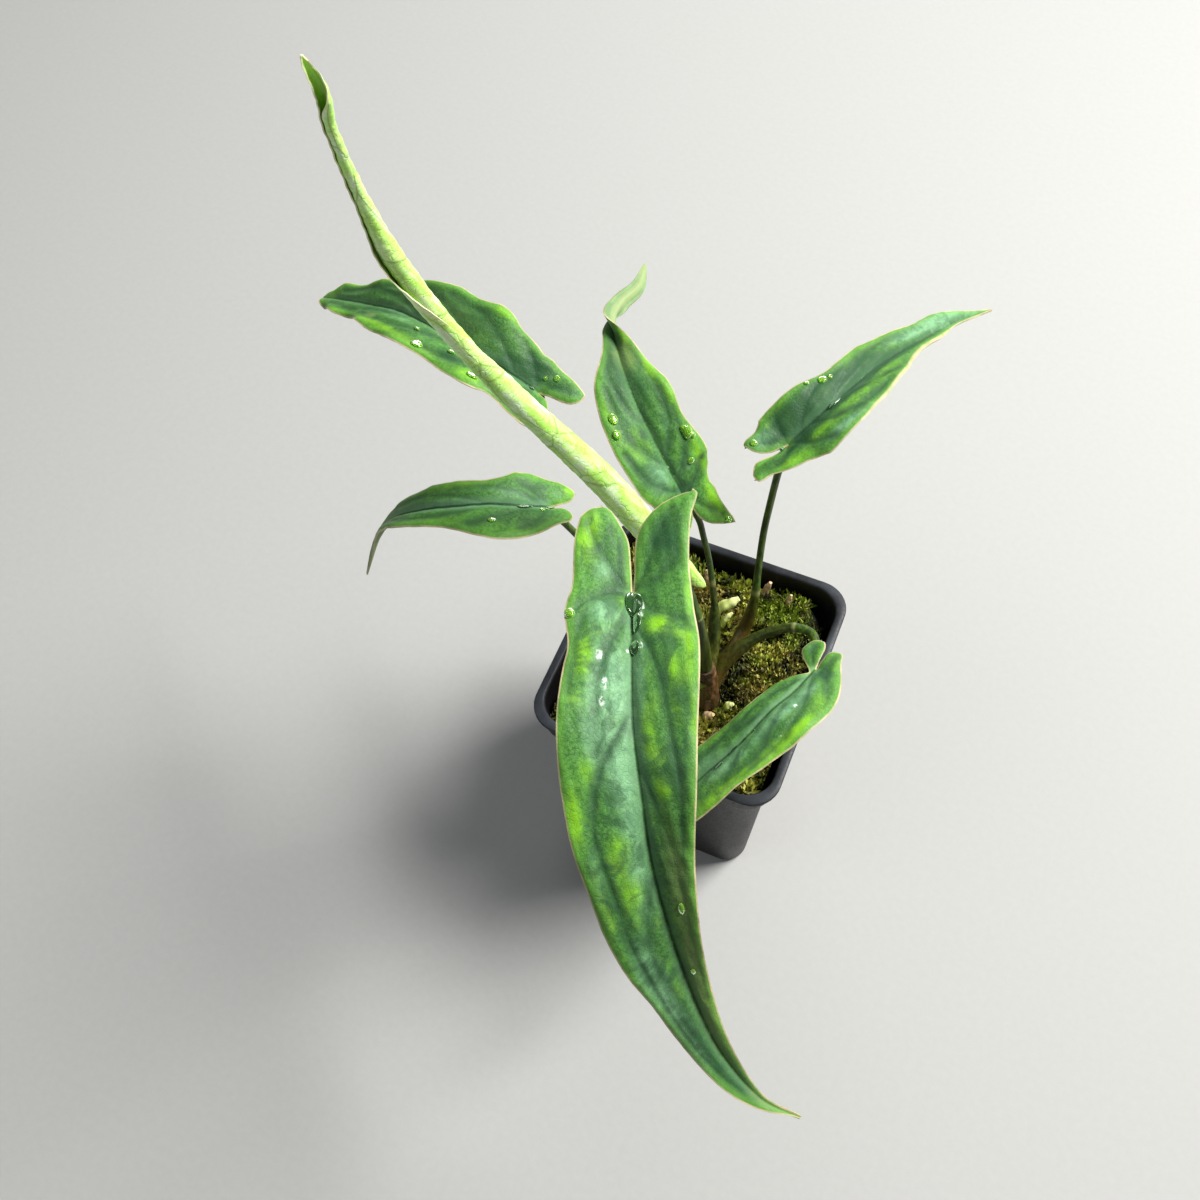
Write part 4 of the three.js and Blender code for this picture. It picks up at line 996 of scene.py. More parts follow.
def leaf_rim_material():
    net = Network("leaf_rim", Specular_IOR_Level=0.4, Subsurface_Weight=0.08, Subsurface_Scale=0.0006)
    tone, fine = net.noise(110), net.noise(1500)
    net.ground(tone, 0.42, 0.62, (0.5, 0.47, 0.26), (0.4, 0.26, 0.17))
    net.layer((0.28, 0.34, 0.11), fine, 0.4, 0.75, 0, 0.5)
    return net.done(net.ramp(fine, 0.3, 0.7, 0.38, 0.55), net.bump(fine, 0.00005))


leaf_under, leaf_rim = leaf_under_material(), leaf_rim_material()
print("underside", len(leaf_under.node_tree.nodes), "nodes, rim", len(leaf_rim.node_tree.nodes))

# %% [markdown]
# ## The six open leaves
# All six come from the same steps with their own numbers, the large front one on a finer grid because
# the camera is nearest to it. Each stands for its CAD blade and keeps that blade's curve.

# %% Make the open leaves
FRONT_GRID, OTHER_GRID = (38, 0.48), (26, 0.52)

for name, leaf in LEAVES.items():
    grid = FRONT_GRID if name == "front" else OTHER_GRID
    piece = open_leaf(name, leaf, (leaf_top, leaf_under, leaf_rim), *grid)
    finish(piece, f"blade_{name}", "leaf_blade")

# %% [markdown]
# ## The young leaf, still rolled
# A new leaf comes out of its sheath wound up like a scroll, pale and soft, and opens from the tip. It
# could be a tapering rod, but then its free edge and its open tip would be painted on. It is one sheet
# wound inwards, as in the CAD, on a finer grid, with fine cross folds pressed in. Its rows say: x, y, z,
# radius, turns and the angle at which the free edge lies.

# %% A place on the roll
SCROLL = np.array([
    (1.7, -9.8, 153, 2.5, 1.4, 170), (-8.5, -9.8, 167, 3.85, 1.5, 160), (-20.2, -11.8, 188, 3.75, 1.5, 140),
    (-35.3, -17.1, 216, 2.8, 1.4, 95), (-45.9, -19.4, 236, 2.35, 1.35, 25),
    (-51.7, -22.2, 254, 2.3, 1.12, -56), (-54.1, -23.7, 270, 1.5, 1.28, -56),
    (-54.2, -25.7, 285, 1.2, 1.1, -58), (-52.7, -27.1, 293, 1.2, 0.72, -64),
    (-52.9, -28.8, 301, 0.85, 0.42, -60),
])
SCROLL_FRONT = np.array([0.3, -0.6, 0.74])
SCROLL_LOBE, LOBE_FLARE = 3.9, 0.2
LOOSE_TURNS, TIGHT_TURNS = 0.6, 1.1
TIP_NARROWING = 0.7
WIDE_PITCH, CLOSE_PITCH = 0.95, 0.33


def scroll_point(t, share, lift=0.0):
    """Places on the roll at station t, for shares of the way round from the free edge inwards."""
    row, ahead = along(SCROLL, t), heading(SCROLL, t)
    side, normal = cross_frame(ahead, SCROLL_FRONT, 0)
    radius, turns, margin = row[3:]
    angle = math.radians(margin) - 2 * math.pi * turns * share
    out = np.outer(np.sin(angle), side) + np.outer(np.cos(angle), normal)
    # Where the roll begins, its two lobes hang down past the stalk, one on each side of the midrib.
    drop = max(0, 1 - t) * np.abs(np.sin(2 * math.pi * share)) ** 4
    radius = radius * (1 - TIP_NARROWING * min(max(t - (len(SCROLL) - 2), 0), 1) ** 3)
    x = min(max((turns - LOOSE_TURNS) / (TIGHT_TURNS - LOOSE_TURNS), 0), 1)
    wound = x * x * (3 - 2 * x)
    pitch = np.interp(t, [2.5, 5], [WIDE_PITCH, CLOSE_PITCH])
    reach = radius - pitch * wound * turns * share + lift + LOBE_FLARE * drop ** 2
    return row[:3] - np.outer(SCROLL_LOBE * drop, ahead) + out * np.asarray(reach)[:, None]


print("foot of the roll, mm", np.round(scroll_point(0, np.array([0.5]))[0], 1))

# %% [markdown]
# ## Winding the sheet
# The grid's rows are laid round the roll one after the other. Noise could rough up its skin, but the real
# folds run across the roll, so they are waves along it. The free edge stands off in places, and each corner
# keeps how far it is from the edges and from the line of a painted highlight streak along the roll's front.

# %% Roll up the young leaf
SCROLL_COLUMNS, SCROLL_ROWS = 120, 250
TIP_START = 0.97
FOLD_HEIGHT, EDGE_LIFT, EDGE_BULGE = 0.05, 0.1, 0.7
BULGE_STATION = 5.1
HIGHLIGHT_BEARING, HIGHLIGHT_WIDTH = -8, 26

young_leaf, across, up = sheet("young_leaf_rolled", SCROLL_COLUMNS, SCROLL_ROWS)
scroll_far, scroll_ts = run_lengths(SCROLL)
places, run, around = np.zeros((len(up), 3)), np.zeros(len(up)), np.zeros(len(up))
levels, index = np.unique(np.round(up, 6), return_inverse=True)
for k, level in enumerate(levels):
    on = index == k
    t = level * (len(SCROLL) - 1)
    radius, turns = along(SCROLL, t)[3:5]
    run[on] = np.interp(t, scroll_ts, scroll_far)
    around[on] = 2 * math.pi * radius * turns * across[on]
    a, r = around[on], run[on]
    tip = np.clip((level - TIP_START) / (1 - TIP_START), 0, 1)
    folds = FOLD_HEIGHT * (np.sin(r * 2.1 + 1.2 * np.sin(a * 0.9)) + np.sin(r * 0.9 + a))
    free = EDGE_LIFT * np.clip(1 - a / 1.6, 0, 1) ** 2 * (0.6 + 0.4 * math.sin(level * 40))
    free = free * np.clip((level - 0.3) / 0.1, 0, 1) * (1 - tip)
    free += EDGE_BULGE * hump(t - BULGE_STATION, 0.4) * np.clip(1 - a / 3.2, 0, 1) ** 2
    share = across[on] if level < 1 else np.full(on.sum(), 0.5)
    places[on] = scroll_point(t, share, folds * (1 - tip) + free)
place_corners(young_leaf, places * MM)


def at_station(values):
    """A row's number at every corner, in straight steps between the stations."""
    return np.interp(up * (len(SCROLL) - 1), np.arange(len(SCROLL)), values)


# Where the painted highlight streak runs round the roll, as a bearing.
bearing = at_station(SCROLL[:, 5]) - 360 * at_station(SCROLL[:, 4]) * across
off_highlight = (bearing - HIGHLIGHT_BEARING + 180) % 360 - 180
whole_way = at_station(2 * math.pi * SCROLL[:, 3] * SCROLL[:, 4])
paint(young_leaf, "along", run)
paint(young_leaf, "across", around)
paint(young_leaf, "highlight_streak", hump(off_highlight, HIGHLIGHT_WIDTH))
paint(young_leaf, "from_edge", np.minimum(around, whole_way - around))
mend(young_leaf, WELD_GAP, flip=True)
print("young leaf", len(young_leaf.data.polygons), "faces before it has a thickness")

# %% [markdown]
# ## Its colour
# The outside of the roll is the leaf's underside: pale yellow-green, with darker side veins and a ladder of
# fine cross veins. Pale gleaming blotches and a nearly white streak along its front are painted highlights.
# What shows inside is already deep green, paler towards the free edge, and painted lighter towards the tip
# and near the free edge, where the roll shades it. The rim is cream, painted paler as a highlight. Scaling
# the noise along the sheet's own coordinates keeps all that with the roll, where Object coordinates would cut
# straight through it.

# %% The outside of the roll
def on_sheet(net, across, lengthwise):
    """The sheet's own coordinates in mm as a vector, stretched each way."""
    node = net.nodes.new("ShaderNodeCombineXYZ")
    net.feed(node.inputs[0], net.times(net.field("across"), across))
    net.feed(node.inputs[1], net.times(net.field("along"), lengthwise))
    return node.outputs[0]


def young_outside_material():
    net = Network("young_leaf_outside", Specular_IOR_Level=0.5, Coat_Weight=0.4, Coat_Roughness=0.22,
                  Subsurface_Weight=0.12, Subsurface_Scale=0.001)
    ladder = net.noise(1.0, 3, 0.6, 0.8, on_sheet(net, 0.16, 1.5))
    tone = net.noise(1.0, 3, 0.55, 0.4, on_sheet(net, 0.3, 0.09))
    gleam = net.noise(1.0, 2, 0.5, 0.5, on_sheet(net, 0.35, 0.12))
    meshwork = net.walls(1.0, on_sheet(net, 0.42, 0.85))
    side_veins = net.walls(1.0, on_sheet(net, 0.13, 0.06))
    run = net.field("along")
    net.ground(tone, 0.38, 0.62, (0.46, 0.86, 0.12), (0.66, 0.98, 0.29))
    net.layer((0.32, 0.64, 0.07), ladder, 0.48, 0.7, 0, 0.55)
    net.layer((0.3, 0.54, 0.08), meshwork, 0, 0.07, 0.25, 0)
    # Painted highlights: pale gleaming blotches, and a nearly white streak along the roll's front.
    net.layer((0.82, 1.0, 0.68), gleam, 0.52, 0.66, 0, 0.6)
    streak = net.times(net.field("highlight_streak"), net.ramp(gleam, 0.42, 0.6, 0, 0.4), net.ramp(run, 25, 60))
    net.layer((0.9, 1.0, 0.8), streak)
    net.layer((0.36, 0.54, 0.09), run, 0, 11, 0.7, 0)
    net.layer((0.23, 0.4, 0.07), side_veins, 0, 0.026, 0.75, 0)
    net.layer((0.7, 0.72, 0.34), net.field("from_edge"), 0.15, 0.4, 0.7, 0)
    height = net.math("SUBTRACT", net.ramp(meshwork, 0, 0.1), net.times(ladder, 0.6))
    return net.done(net.ramp(net.noise(900), 0.3, 0.7, 0.3, 0.46), net.bump(height, 0.00012))


young_outside = young_outside_material()
print("outside of the roll", len(young_outside.node_tree.nodes), "nodes")

# %% [markdown]
# ## Its inside and its rim
# The sheet is thinner towards its tip and a little thicker away from its edges. A second sheet could
# have lined the roll, but the two would touch, so the thickness comes from the same modifier as before.

# %% Inside, rim and thickness
SCROLL_THICKNESS = 0.42


def young_inside_material():
    net = Network("young_leaf_inside", Specular_IOR_Level=0.5, Coat_Weight=0.1, Coat_Roughness=0.2)
    tone, fine = net.noise(160, 4, 0.6), net.noise(1000)
    run, from_edge = net.field("along"), net.field("from_edge")
    net.ground(tone, 0.4, 0.6, (0.05, 0.2, 0.012), (0.2, 0.46, 0.03))
    # Painted light: the inside turns bright green towards the tip and pale along a band near the free edge,
    # where the roll itself shades it.
    net.layer((0.4, 0.78, 0.07), run, 136, 154, 0, 0.9)
    middle = net.times(net.ramp(run, 50, 75), net.ramp(run, 146, 152, 1, 0))
    net.layer((0.56, 0.76, 0.22), net.times(net.ramp(from_edge, 0.9, 2.4, 0.85, 0), middle))
    net.layer((0.56, 0.66, 0.22), from_edge, 0.3, 0.9, 0.8, 0)
    return net.done(net.ramp(fine, 0.3, 0.7, 0.3, 0.45), net.bump(fine, 0.00008))


def young_rim_material():
    net = Network("young_leaf_rim", Specular_IOR_Level=0.4)
    fine = net.noise(1500)
    # Painted highlight: the rim is the leaf's cream, painted paler where it catches light.
    net.ground(net.noise(110), 0.45, 0.65, (0.9, 0.96, 0.52), (0.76, 0.7, 0.4))
    return net.done(net.ramp(fine, 0.3, 0.7, 0.38, 0.55), net.bump(fine, 0.00005))


for material in (young_outside, young_inside_material(), young_rim_material()):
    young_leaf.data.materials.append(material)
edge = read_field(young_leaf, "from_edge")
towards_tip = np.interp(read_field(young_leaf, "along"), scroll_far[[100, 220]], [1, 0.65])
thicken(young_leaf, (0.85 + 0.15 * np.clip(edge / 1.2, 0, 1)) * towards_tip, SCROLL_THICKNESS)
smooth(young_leaf)
finish(young_leaf, "new_leaf_rolled", "young_leaf")

# %% [markdown]
# ## The skin of stalks and stem
# Both are fleshy and slightly glossy: olive green with fine streaks along them, duller where a stalk is
# still a sheath, reddish brown low down and on the stem. A flat colour would look like plastic, and
# noise that is stretched along the height gives the streaks without any picture.

# %% Stalk and stem materials
def stalk_material():
    net = Network("stalk", Specular_IOR_Level=0.32, Coat_Weight=0.05, Coat_Roughness=0.25,
                  Subsurface_Weight=0.05, Subsurface_Scale=0.001)
    streak = net.noise(1.0, 4, 0.6, 0.3, net.stretched((900, 900, 90)))
    blotch = net.noise(120)
    old = net.mix(net.ramp(streak, 0.4, 0.65), (0.02, 0.03, 0.002), (0.064, 0.08, 0.005))
    net.ground(streak, 0.38, 0.66, (0.02, 0.048, 0.003), (0.066, 0.118, 0.009))
    net.layer((0.09, 0.13, 0.018), blotch, 0.5, 0.72, 0, 0.5)
    net.layer(old, net.field("sheath"), 0.2, 0.9, 0, 0.8)
    low = net.ramp(net.height(), 0.088, 0.104, 0.8, 0)
    net.layer((0.09, 0.038, 0.01), net.times(low, net.ramp(blotch, 0.35, 0.6, 0.4, 1)))
    net.layer((0.3, 0.3, 0.11), net.field("edge"))
    return net.done(net.ramp(net.noise(1600), 0.3, 0.7, 0.28, 0.45), net.bump(streak, 0.00015))


def stem_material():
    net = Network("stem", Specular_IOR_Level=0.45, Coat_Weight=0.1, Coat_Roughness=0.3)
    streak = net.noise(1.0, 4, 0.6, 0.4, net.stretched((700, 700, 120)))
    blotch, fine = net.noise(200, 4, 0.65), net.noise(1500)
    net.ground(streak, 0.36, 0.64, (0.045, 0.022, 0.007), (0.14, 0.066, 0.022))
    net.layer((0.33, 0.17, 0.06), blotch, 0.55, 0.72, 0, 0.6)
    net.layer((0.06, 0.07, 0.018), blotch, 0.28, 0.42, 0.6, 0)
    return net.done(net.ramp(fine, 0.3, 0.7, 0.35, 0.6), net.bump(streak, 0.0003, 0.6))


stalk_skin, stem_skin = stalk_material(), stem_material()
print("stalk", len(stalk_skin.node_tree.nodes), "nodes, stem", len(stem_skin.node_tree.nodes))

# %% [markdown]
# ## The stalks
# A leaf stalk is fleshy and round, and its lower part is a sheath that wraps the next one, open along
# one side. Plain tubes would read as wire. Each stalk is a rod with rings that runs along the CAD
# stalk's curve, and its cross-section changes on the way: grooved and winged low down, round above.
# Its top is cut along the leaf's underside, just clear of it.

# %% Make the stalks
# Share of each stalk that is sheath, and how far the sheath's free edge stands out, as a share of radius.
SHEATHS = {
    "front": (0.35, 0.10), "right_front": (0.55, 0.22), "right_back": (0.52, 0.18),
    "middle_back": (0.5, 0.16), "back_left": (0.3, 0.10), "left": (0.3, 0.08), "new_leaf": (0.6, 0.12),
}
SCROLL_STALK = np.array([
    (7.7, -10.3, 104, 2), (6.9, -10.4, 116, 1.8), (5.2, -10.6, 130, 1.6), (3, -10.6, 142, 1.3),
])
STALK_SIDES, STALK_RING_GAP = 64, 0.7
GROOVE_ANGLE, LIP_ANGLE = 1.0, 1.45
GROOVE_DEPTH, SHEATH_RING, TOP_FLARE = 0.20, 0.10, 0.12
STALK_CLEARANCE = 0.08


def ridge_at(angle, place, width):
    """A hump at one angle round a rod, the same from both sides of the turn."""
    return hump(np.angle(np.exp(1j * (angle - place))), width)


def make_stalk(name, rows, end, normal):
    rows = np.vstack([rows, [*end, rows[-1][3]]])
    rings = max(50, int(run_lengths(rows)[0][-1] / STALK_RING_GAP))
    sheath, wing = SHEATHS[name]

    def swell(share, angle):
        low = max(0, min(1, (sheath - share) / 0.12 + 0.5))
        groove = GROOVE_DEPTH * ridge_at(angle, GROOVE_ANGLE, 0.22)
        lip = wing * ridge_at(angle, LIP_ANGLE, 0.2)
        ring = SHEATH_RING * hump(share - sheath, 0.012)
        flare = TOP_FLARE * max(0, (share - 0.96) / 0.04)
        return 1 + low * (lip - groove) + ring + flare + 0.012 * np.sin(5 * angle + 9 * share)

    piece, angles, shares = rod(f"stalk_{name}", rows, STALK_SIDES, rings, swell)
    places = corners(piece) / MM
    top = shares > 0.999
    ahead = heading(rows, len(rows) - 1)
    short = (np.array(end) - places[top]) @ normal / ahead.dot(normal)
    places[top] += np.outer(short, ahead)
    place_corners(piece, places * MM)
    low = np.clip((sheath - shares) / 0.06 + 0.5, 0, 1)
    band = 0.8 * hump(shares - sheath, 0.008)
    lip = 0.7 * low * ridge_at(angles, LIP_ANGLE, 0.16)
    paint(piece, "sheath", low)
    paint(piece, "edge", np.clip(band + lip, 0, 1))
    smooth(piece, 50)
    finish(piece, f"petiole_{name}", "leaf_stalk", stalk_skin)


for name, leaf in LEAVES.items():
    place, normal = leaf_points(leaf, zero, zero, zero, zero + 1)
    under = place[0] - normal[0] * (RIB_THICKNESS + STALK_CLEARANCE)
    make_stalk(name, leaf["stalk"], under, normal[0])
ahead = heading(SCROLL, 0)
foot = scroll_point(0, np.array([0.5]))[0]
inwards = SCROLL[0, :3] - foot
inwards = inwards / np.linalg.norm(inwards)
top = foot + inwards * SCROLL_THICKNESS / 2 - ahead * STALK_CLEARANCE
make_stalk("new_leaf", SCROLL_STALK, top, ahead)

# %% [markdown]
# ## The stem
# A short thick stem comes out of the moss, ringed where old leaves have dropped off. Rings could be
# separate hoops, but on the plant they are swellings of one skin, so the rod's radius swells there.

# %% Make the stem
STEM = np.array([
    (9, -9, 52, 2.4), (9, -9, 62, 3.2), (8.8, -9.2, 74, 3.6), (8.4, -9.6, 86, 3.4), (8, -10, 98, 2.9),
    (7.6, -10.4, 106, 2.5),
])
STEM_RINGS = (0.42, 0.55, 0.66, 0.78, 0.9)


def stem_swell(share, angle):
    rings = sum(0.10 * hump(share - place, 0.012) for place in STEM_RINGS)
    flakes = 0.05 * np.sin(7 * angle + 30 * share) * (0.5 + 0.5 * np.sin(40 * share + 2 * angle))
    return 1 + rings + flakes


piece, _, _ = rod("short_stem", STEM, 72, 110, stem_swell)
smooth(piece, 50)
finish(piece, "stem", "stem", stem_skin)

# %% [markdown]
# ## The pot
# A thin black cup drawn from warm plastic sheet: tapered walls, a step below the collar, a turned lip.
# The CAD pot has the right sizes but few steps round its corners. Its profile is repeated here with
# rounded bends and wrapped round a finer square. The four drain holes are cut as they are in the CAD.

# %% Shape the pot
POT_CORNER, POT_HALF = 9, 38
POT_STEPS_ROUND = 176
POT_PROFILE = [
    (0, 0.01), (14, 0), (28.8, 0), (29.6, 0.15), (30.3, 0.6), (30.8, 1.2), (31, 1.9), (31.9, 22), (33.1, 50),
    (34.1, 72.4), (34.3, 73.6), (34.8, 74.6), (35.7, 75.8), (36.15, 76.6), (36.3, 77.6), (36.5, 84.2),
    (36.55, 85.9), (36.7, 86.3), (37.3, 86.4), (37.75, 86.5), (38, 86.9), (38, 87.4), (37.8, 87.8),
    (37.35, 88), (36, 88), (35.6, 87.85), (35.35, 87.5), (35.2, 86.4), (34.8, 77.2), (34.5, 76.4),
    (33.5, 75), (33.1, 74.2), (32.9, 73.4), (31.9, 50), (30.4, 15), (29.8, 2.7), (29.2, 1.8), (28.3, 1.25),
    (14, 1.2), (0, 1.19),
]
DRAIN_RADIUS, DRAIN_OFFSET = 3.2, 19


def rounded_square(share, half, corner):
    """A place on a rounded square's edge, at a share of the way round it."""
    if half < 1e-6:
        return 0.0, 0.0
    straight = half - corner
    side, arc = 2 * straight, corner * math.pi / 2
    quarter, rest = divmod((share % 1) * 4 * (side + arc), side + arc)
    if rest < side:
        x, y = half, rest - straight
    else:
        angle = (rest - side) / corner
        x, y = straight + corner * math.cos(angle), straight + corner * math.sin(angle)
    for _ in range(int(quarter)):
        x, y = -y, x
    return x, y


def square_rings(name, profile, steps):
    """A closed skin from a profile of half width and height, wrapped round a square with soft corners."""
    piece, across, up = sheet(name, steps, len(profile) - 1)
    levels = np.rint(up * (len(profile) - 1)).astype(int)
    places = np.zeros((len(levels), 3))
    for k, (share, level) in enumerate(zip(across, levels)):
        half, z = profile[level]
        corner = max(POT_CORNER - 0.25 * (POT_HALF - half), half * 0.22)
        places[k] = (*rounded_square(share, half, min(corner, half)), z)
    place_corners(piece, places * MM)
    mend(piece, 0.01, outwards=True)
    return piece


pot = square_rings("pot_shell", POT_PROFILE, POT_STEPS_ROUND)
clear_selection()
cutters = []
for x, y in ((1, 1), (-1, 1), (-1, -1), (1, -1)):
    bpy.ops.mesh.primitive_cylinder_add(vertices=40, radius=DRAIN_RADIUS * MM, depth=4 * MM,
                                        location=(x * DRAIN_OFFSET * MM, y * DRAIN_OFFSET * MM, 0.5 * MM))
    cutters.append(bpy.context.object)
cutter = join("drain_cutter", cutters)
cut = pot.modifiers.new("Drains", "BOOLEAN")
cut.object = cutter
cut.solver = "EXACT"
apply_all(pot)
bpy.data.objects.remove(cutter)
smooth(pot, 35)
print("pot", [round(v / MM, 1) for v in pot.dimensions])

# %% [markdown]
# ## The pot's plastic
# Recycled black plastic: satin and scuffed, with a painted blue-grey highlight along the lip. A clean black
# shader would look like a drawing of a pot, so noise carries the scuffs and breaks up the painted highlight.

# %% Pot material
def pot_material():
    net = Network("pot_plastic", Specular_IOR_Level=0.17)
    cloud, fine = net.noise(60, 4, 0.6), net.noise(1800)
    scuff = net.noise(1.0, 5, 0.7, 0.6, net.stretched((500, 500, 60)))
    net.ground(cloud, 0.35, 0.65, (0.008, 0.007, 0.008), (0.015, 0.013, 0.013))
    net.layer((0.06, 0.056, 0.056), scuff, 0.6, 0.78, 0, 0.35)
    # Painted highlight: blue-grey along the lip.
    lip = net.ramp(net.height(), 0.0866, 0.0879)
    net.layer((0.06, 0.072, 0.088), net.times(lip, net.ramp(cloud, 0.3, 0.7, 0.1, 0.6)))
    rough = net.math("ADD", net.ramp(fine, 0.3, 0.7, 0.28, 0.42), net.times(scuff, 0.15))
    return net.done(rough, net.bump(fine, 0.00005, 0.4, net.bump(cloud, 0.0006, 0.3)))


finish(pot, "pot", "pot_plastic", pot_material())

# %% [markdown]
# ## The moss
# Damp long-fibred moss fills the pot: soft heads of tiny leaves, green and yellow-green, with dead tan
# strands and black gaps between. Hair particles would need a live modifier and do not travel well. The
# bed is a lumpy skin that follows the CAD moss, and a few small tufts, modelled once, are copied over it.

# %% The bed of moss
MOSS_TOP, MOSS_RELIEF, CLUMP_RADIUS, HOLLOWS = 77.2, 1.9, 6, 0.8
CLUMPS, SHOULDER_HALF = 46, 34.2
BED_TOP_HALF, BED_TOP_RINGS = 32.7, 64
STEM_X, STEM_Y = 9, -9


def repeatable_draws(seed):
    """The same row of draws as in the CAD source, so that the clumps lie where they lie there."""
    while True:
        seed = (seed * 1664525 + 1013904223) % 4294967296
        yield seed / 4294967296


draw = repeatable_draws(7)
clumps = [((2 * next(draw) - 1) * SHOULDER_HALF, (2 * next(draw) - 1) * SHOULDER_HALF,
           (2 * next(draw) - HOLLOWS) * MOSS_RELIEF) for _ in range(CLUMPS)]


def moss_height(x, y):
    """Height of the moss bed in mm: the CAD's clumps with smaller lumps between them."""
    height = MOSS_TOP - 0.6
    for cx, cy, rise in clumps:
        height = height + rise * np.exp(-((x - cx) ** 2 + (y - cy) ** 2) / CLUMP_RADIUS ** 2)
    fine = 0.45 * np.sin(1.7 * x + np.sin(y)) * np.sin(1.5 * y + np.cos(1.2 * x))
    bank = 3.0 * np.clip((y - 4) / 26, 0, 1) ** 1.5
    return height + bank + fine + 0.25 * np.sin(3.9 * x + 2 * np.sin(2 * y)) * np.sin(4.3 * y + x)


def from_stem(x, y):
    return math.hypot(x - STEM_X, y - STEM_Y)


moss_profile = [(0, 1.5), (29.2, 1.5), (29.5, 2.7), (BED_TOP_HALF, 72.9)]
moss_profile += [(BED_TOP_HALF * (1 - k / BED_TOP_RINGS), 77) for k in range(1, BED_TOP_RINGS + 1)]
moss = square_rings("moss_bed", moss_profile, 220)
places = corners(moss) / MM
top = places[:, 2] > 75
places[top, 2] = moss_height(places[top, 0], places[top, 1])
place_corners(moss, places * MM)
smooth(moss)
print("moss bed up to", round(places[:, 2].max(), 1), "mm")

# %% [markdown]
# ## The colours of moss
# Every colour of moss varies in the same way: blotchy, pale at the tips, lush or brown in places and black in
# the gaps. The black gaps are painted shade, and so is the way the lush and brown patches darken from the
# tips downwards. One function with three colours makes all of them. For single shoots the age and shade
# setting is small, which keeps the brown and the painted shade of the bed off them.

# %% Moss materials
def moss_material(name, low, high, pale, age_and_shade=1.0):
    net = Network(name, Specular_IOR_Level=0.3, Sheen_Weight=0.1, Sheen_Roughness=0.5)
    blotch, fine, tip = net.noise(140, 4, 0.6), net.noise(1100, 4, 0.65), net.field("tip")
    own_tone = net.math("ADD", blotch, net.math("MULTIPLY_ADD", net.field("tint"), 0.5, -0.25))
    net.ground(own_tone, 0.3, 0.7, low, high)
    net.layer(pale, tip, 0.45, 1.0, 0, 0.8)
    net.layer(low, fine, 0.5, 0.75, 0, 0.35)
    # Painted shade: lush and brown patches darken from the tips down into the tuft.
    lush = net.mix(tip, (0.02, 0.045, 0.002), (0.19, 0.33, 0.012))
    brown = net.mix(tip, (0.08, 0.055, 0.012), (0.56, 0.44, 0.14))
    net.layer(lush, net.noise(78, 2, 0.5, 0.4), 0.5, 0.62, 0, 0.55 * age_and_shade)
    net.layer(brown, net.noise(66, 3, 0.6, 0.5), 0.5, 0.6, 0, 0.75 * age_and_shade)
    # Painted shade: black in the gaps between the heads.
    net.layer((0.014, 0.014, 0.003), net.noise(150, 4, 0.65, 0.8), 0.36, 0.5, 0.85 * age_and_shade, 0)
    net.layer((0.012, 0.014, 0.002), net.noise(58, 2, 0.5, 0.3), 0.34, 0.46, 0.8 * age_and_shade, 0)
    return net.done(net.ramp(fine, 0.3, 0.7, 0.45, 0.7), net.bump(fine, 0.0002, 0.6))


shadow = moss_material("moss_shadow", (0.008, 0.009, 0.002), (0.035, 0.038, 0.008), (0.06, 0.06, 0.015))
green = moss_material("moss_green", (0.055, 0.085, 0.004), (0.25, 0.31, 0.014), (0.52, 0.6, 0.06))
yellow = moss_material("moss_yellow", (0.2, 0.2, 0.012), (0.6, 0.6, 0.07), (0.88, 0.86, 0.24))
tan = moss_material("moss_tan", (0.16, 0.1, 0.025), (0.48, 0.32, 0.11), (0.72, 0.54, 0.25))
young_tip = moss_material("shoot_pale", (0.36, 0.46, 0.07), (0.64, 0.74, 0.2), (0.78, 0.82, 0.38), 0.15)
dry_tip = moss_material("shoot_dry", (0.26, 0.15, 0.06), (0.56, 0.37, 0.19), (0.7, 0.5, 0.3), 0.3)
bark = moss_material("bark_chips", (0.012, 0.009, 0.007), (0.04, 0.028, 0.018), (0.08, 0.055, 0.035))
finish(moss, "moss", "moss", shadow)

# %% [markdown]
# ## Tufts of moss
# One shoot of moss is a thin stem with tiny pointed leaves round it. Thousands of separate objects
# would take minutes, so a tuft of a dozen shoots is modelled once in each colour from small bent grids,
# and its copies are turned, scaled and joined into one piece for each colour.

# %% Model and scatter the tufts
POT_REACH, POT_CORNER_CENTRE, POT_CORNER_REACH = 32, 25.5, 6.3
STEM_CLEARANCE = 4.4
LEVELS, LEAF_TURN = 6, 137
MOSS_WALL, MOSS_CEILING = 32.9, 99
dice = random.Random(11)


def leaflet(length, width, place, turn, tilt):
    """A small pointed leaf of two faces, bent up towards its tip."""
    bpy.ops.mesh.primitive_grid_add(x_subdivisions=1, y_subdivisions=2, size=1)
    piece = bpy.context.object
    flat = corners(piece)
    share = flat[:, 1] + 0.5
    wide = width * np.interp(share, [0, 0.5, 1], [0.5, 1.0, 0.08])
    x, y, z = flat[:, 0] * wide, share * length, 0.22 * length * share ** 2
    lean, spin = math.radians(tilt), math.radians(turn)
    out, rise = y * math.cos(lean) - z * math.sin(lean), y * math.sin(lean) + z * math.cos(lean)
    places = np.stack([place[0] + x * math.cos(spin) - out * math.sin(spin),
                       place[1] + x * math.sin(spin) + out * math.cos(spin), place[2] + rise], axis=1)
    place_corners(piece, places)
    paint(piece, "tip", np.clip(places[:, 2] / 3.2, 0, 1))
    return piece


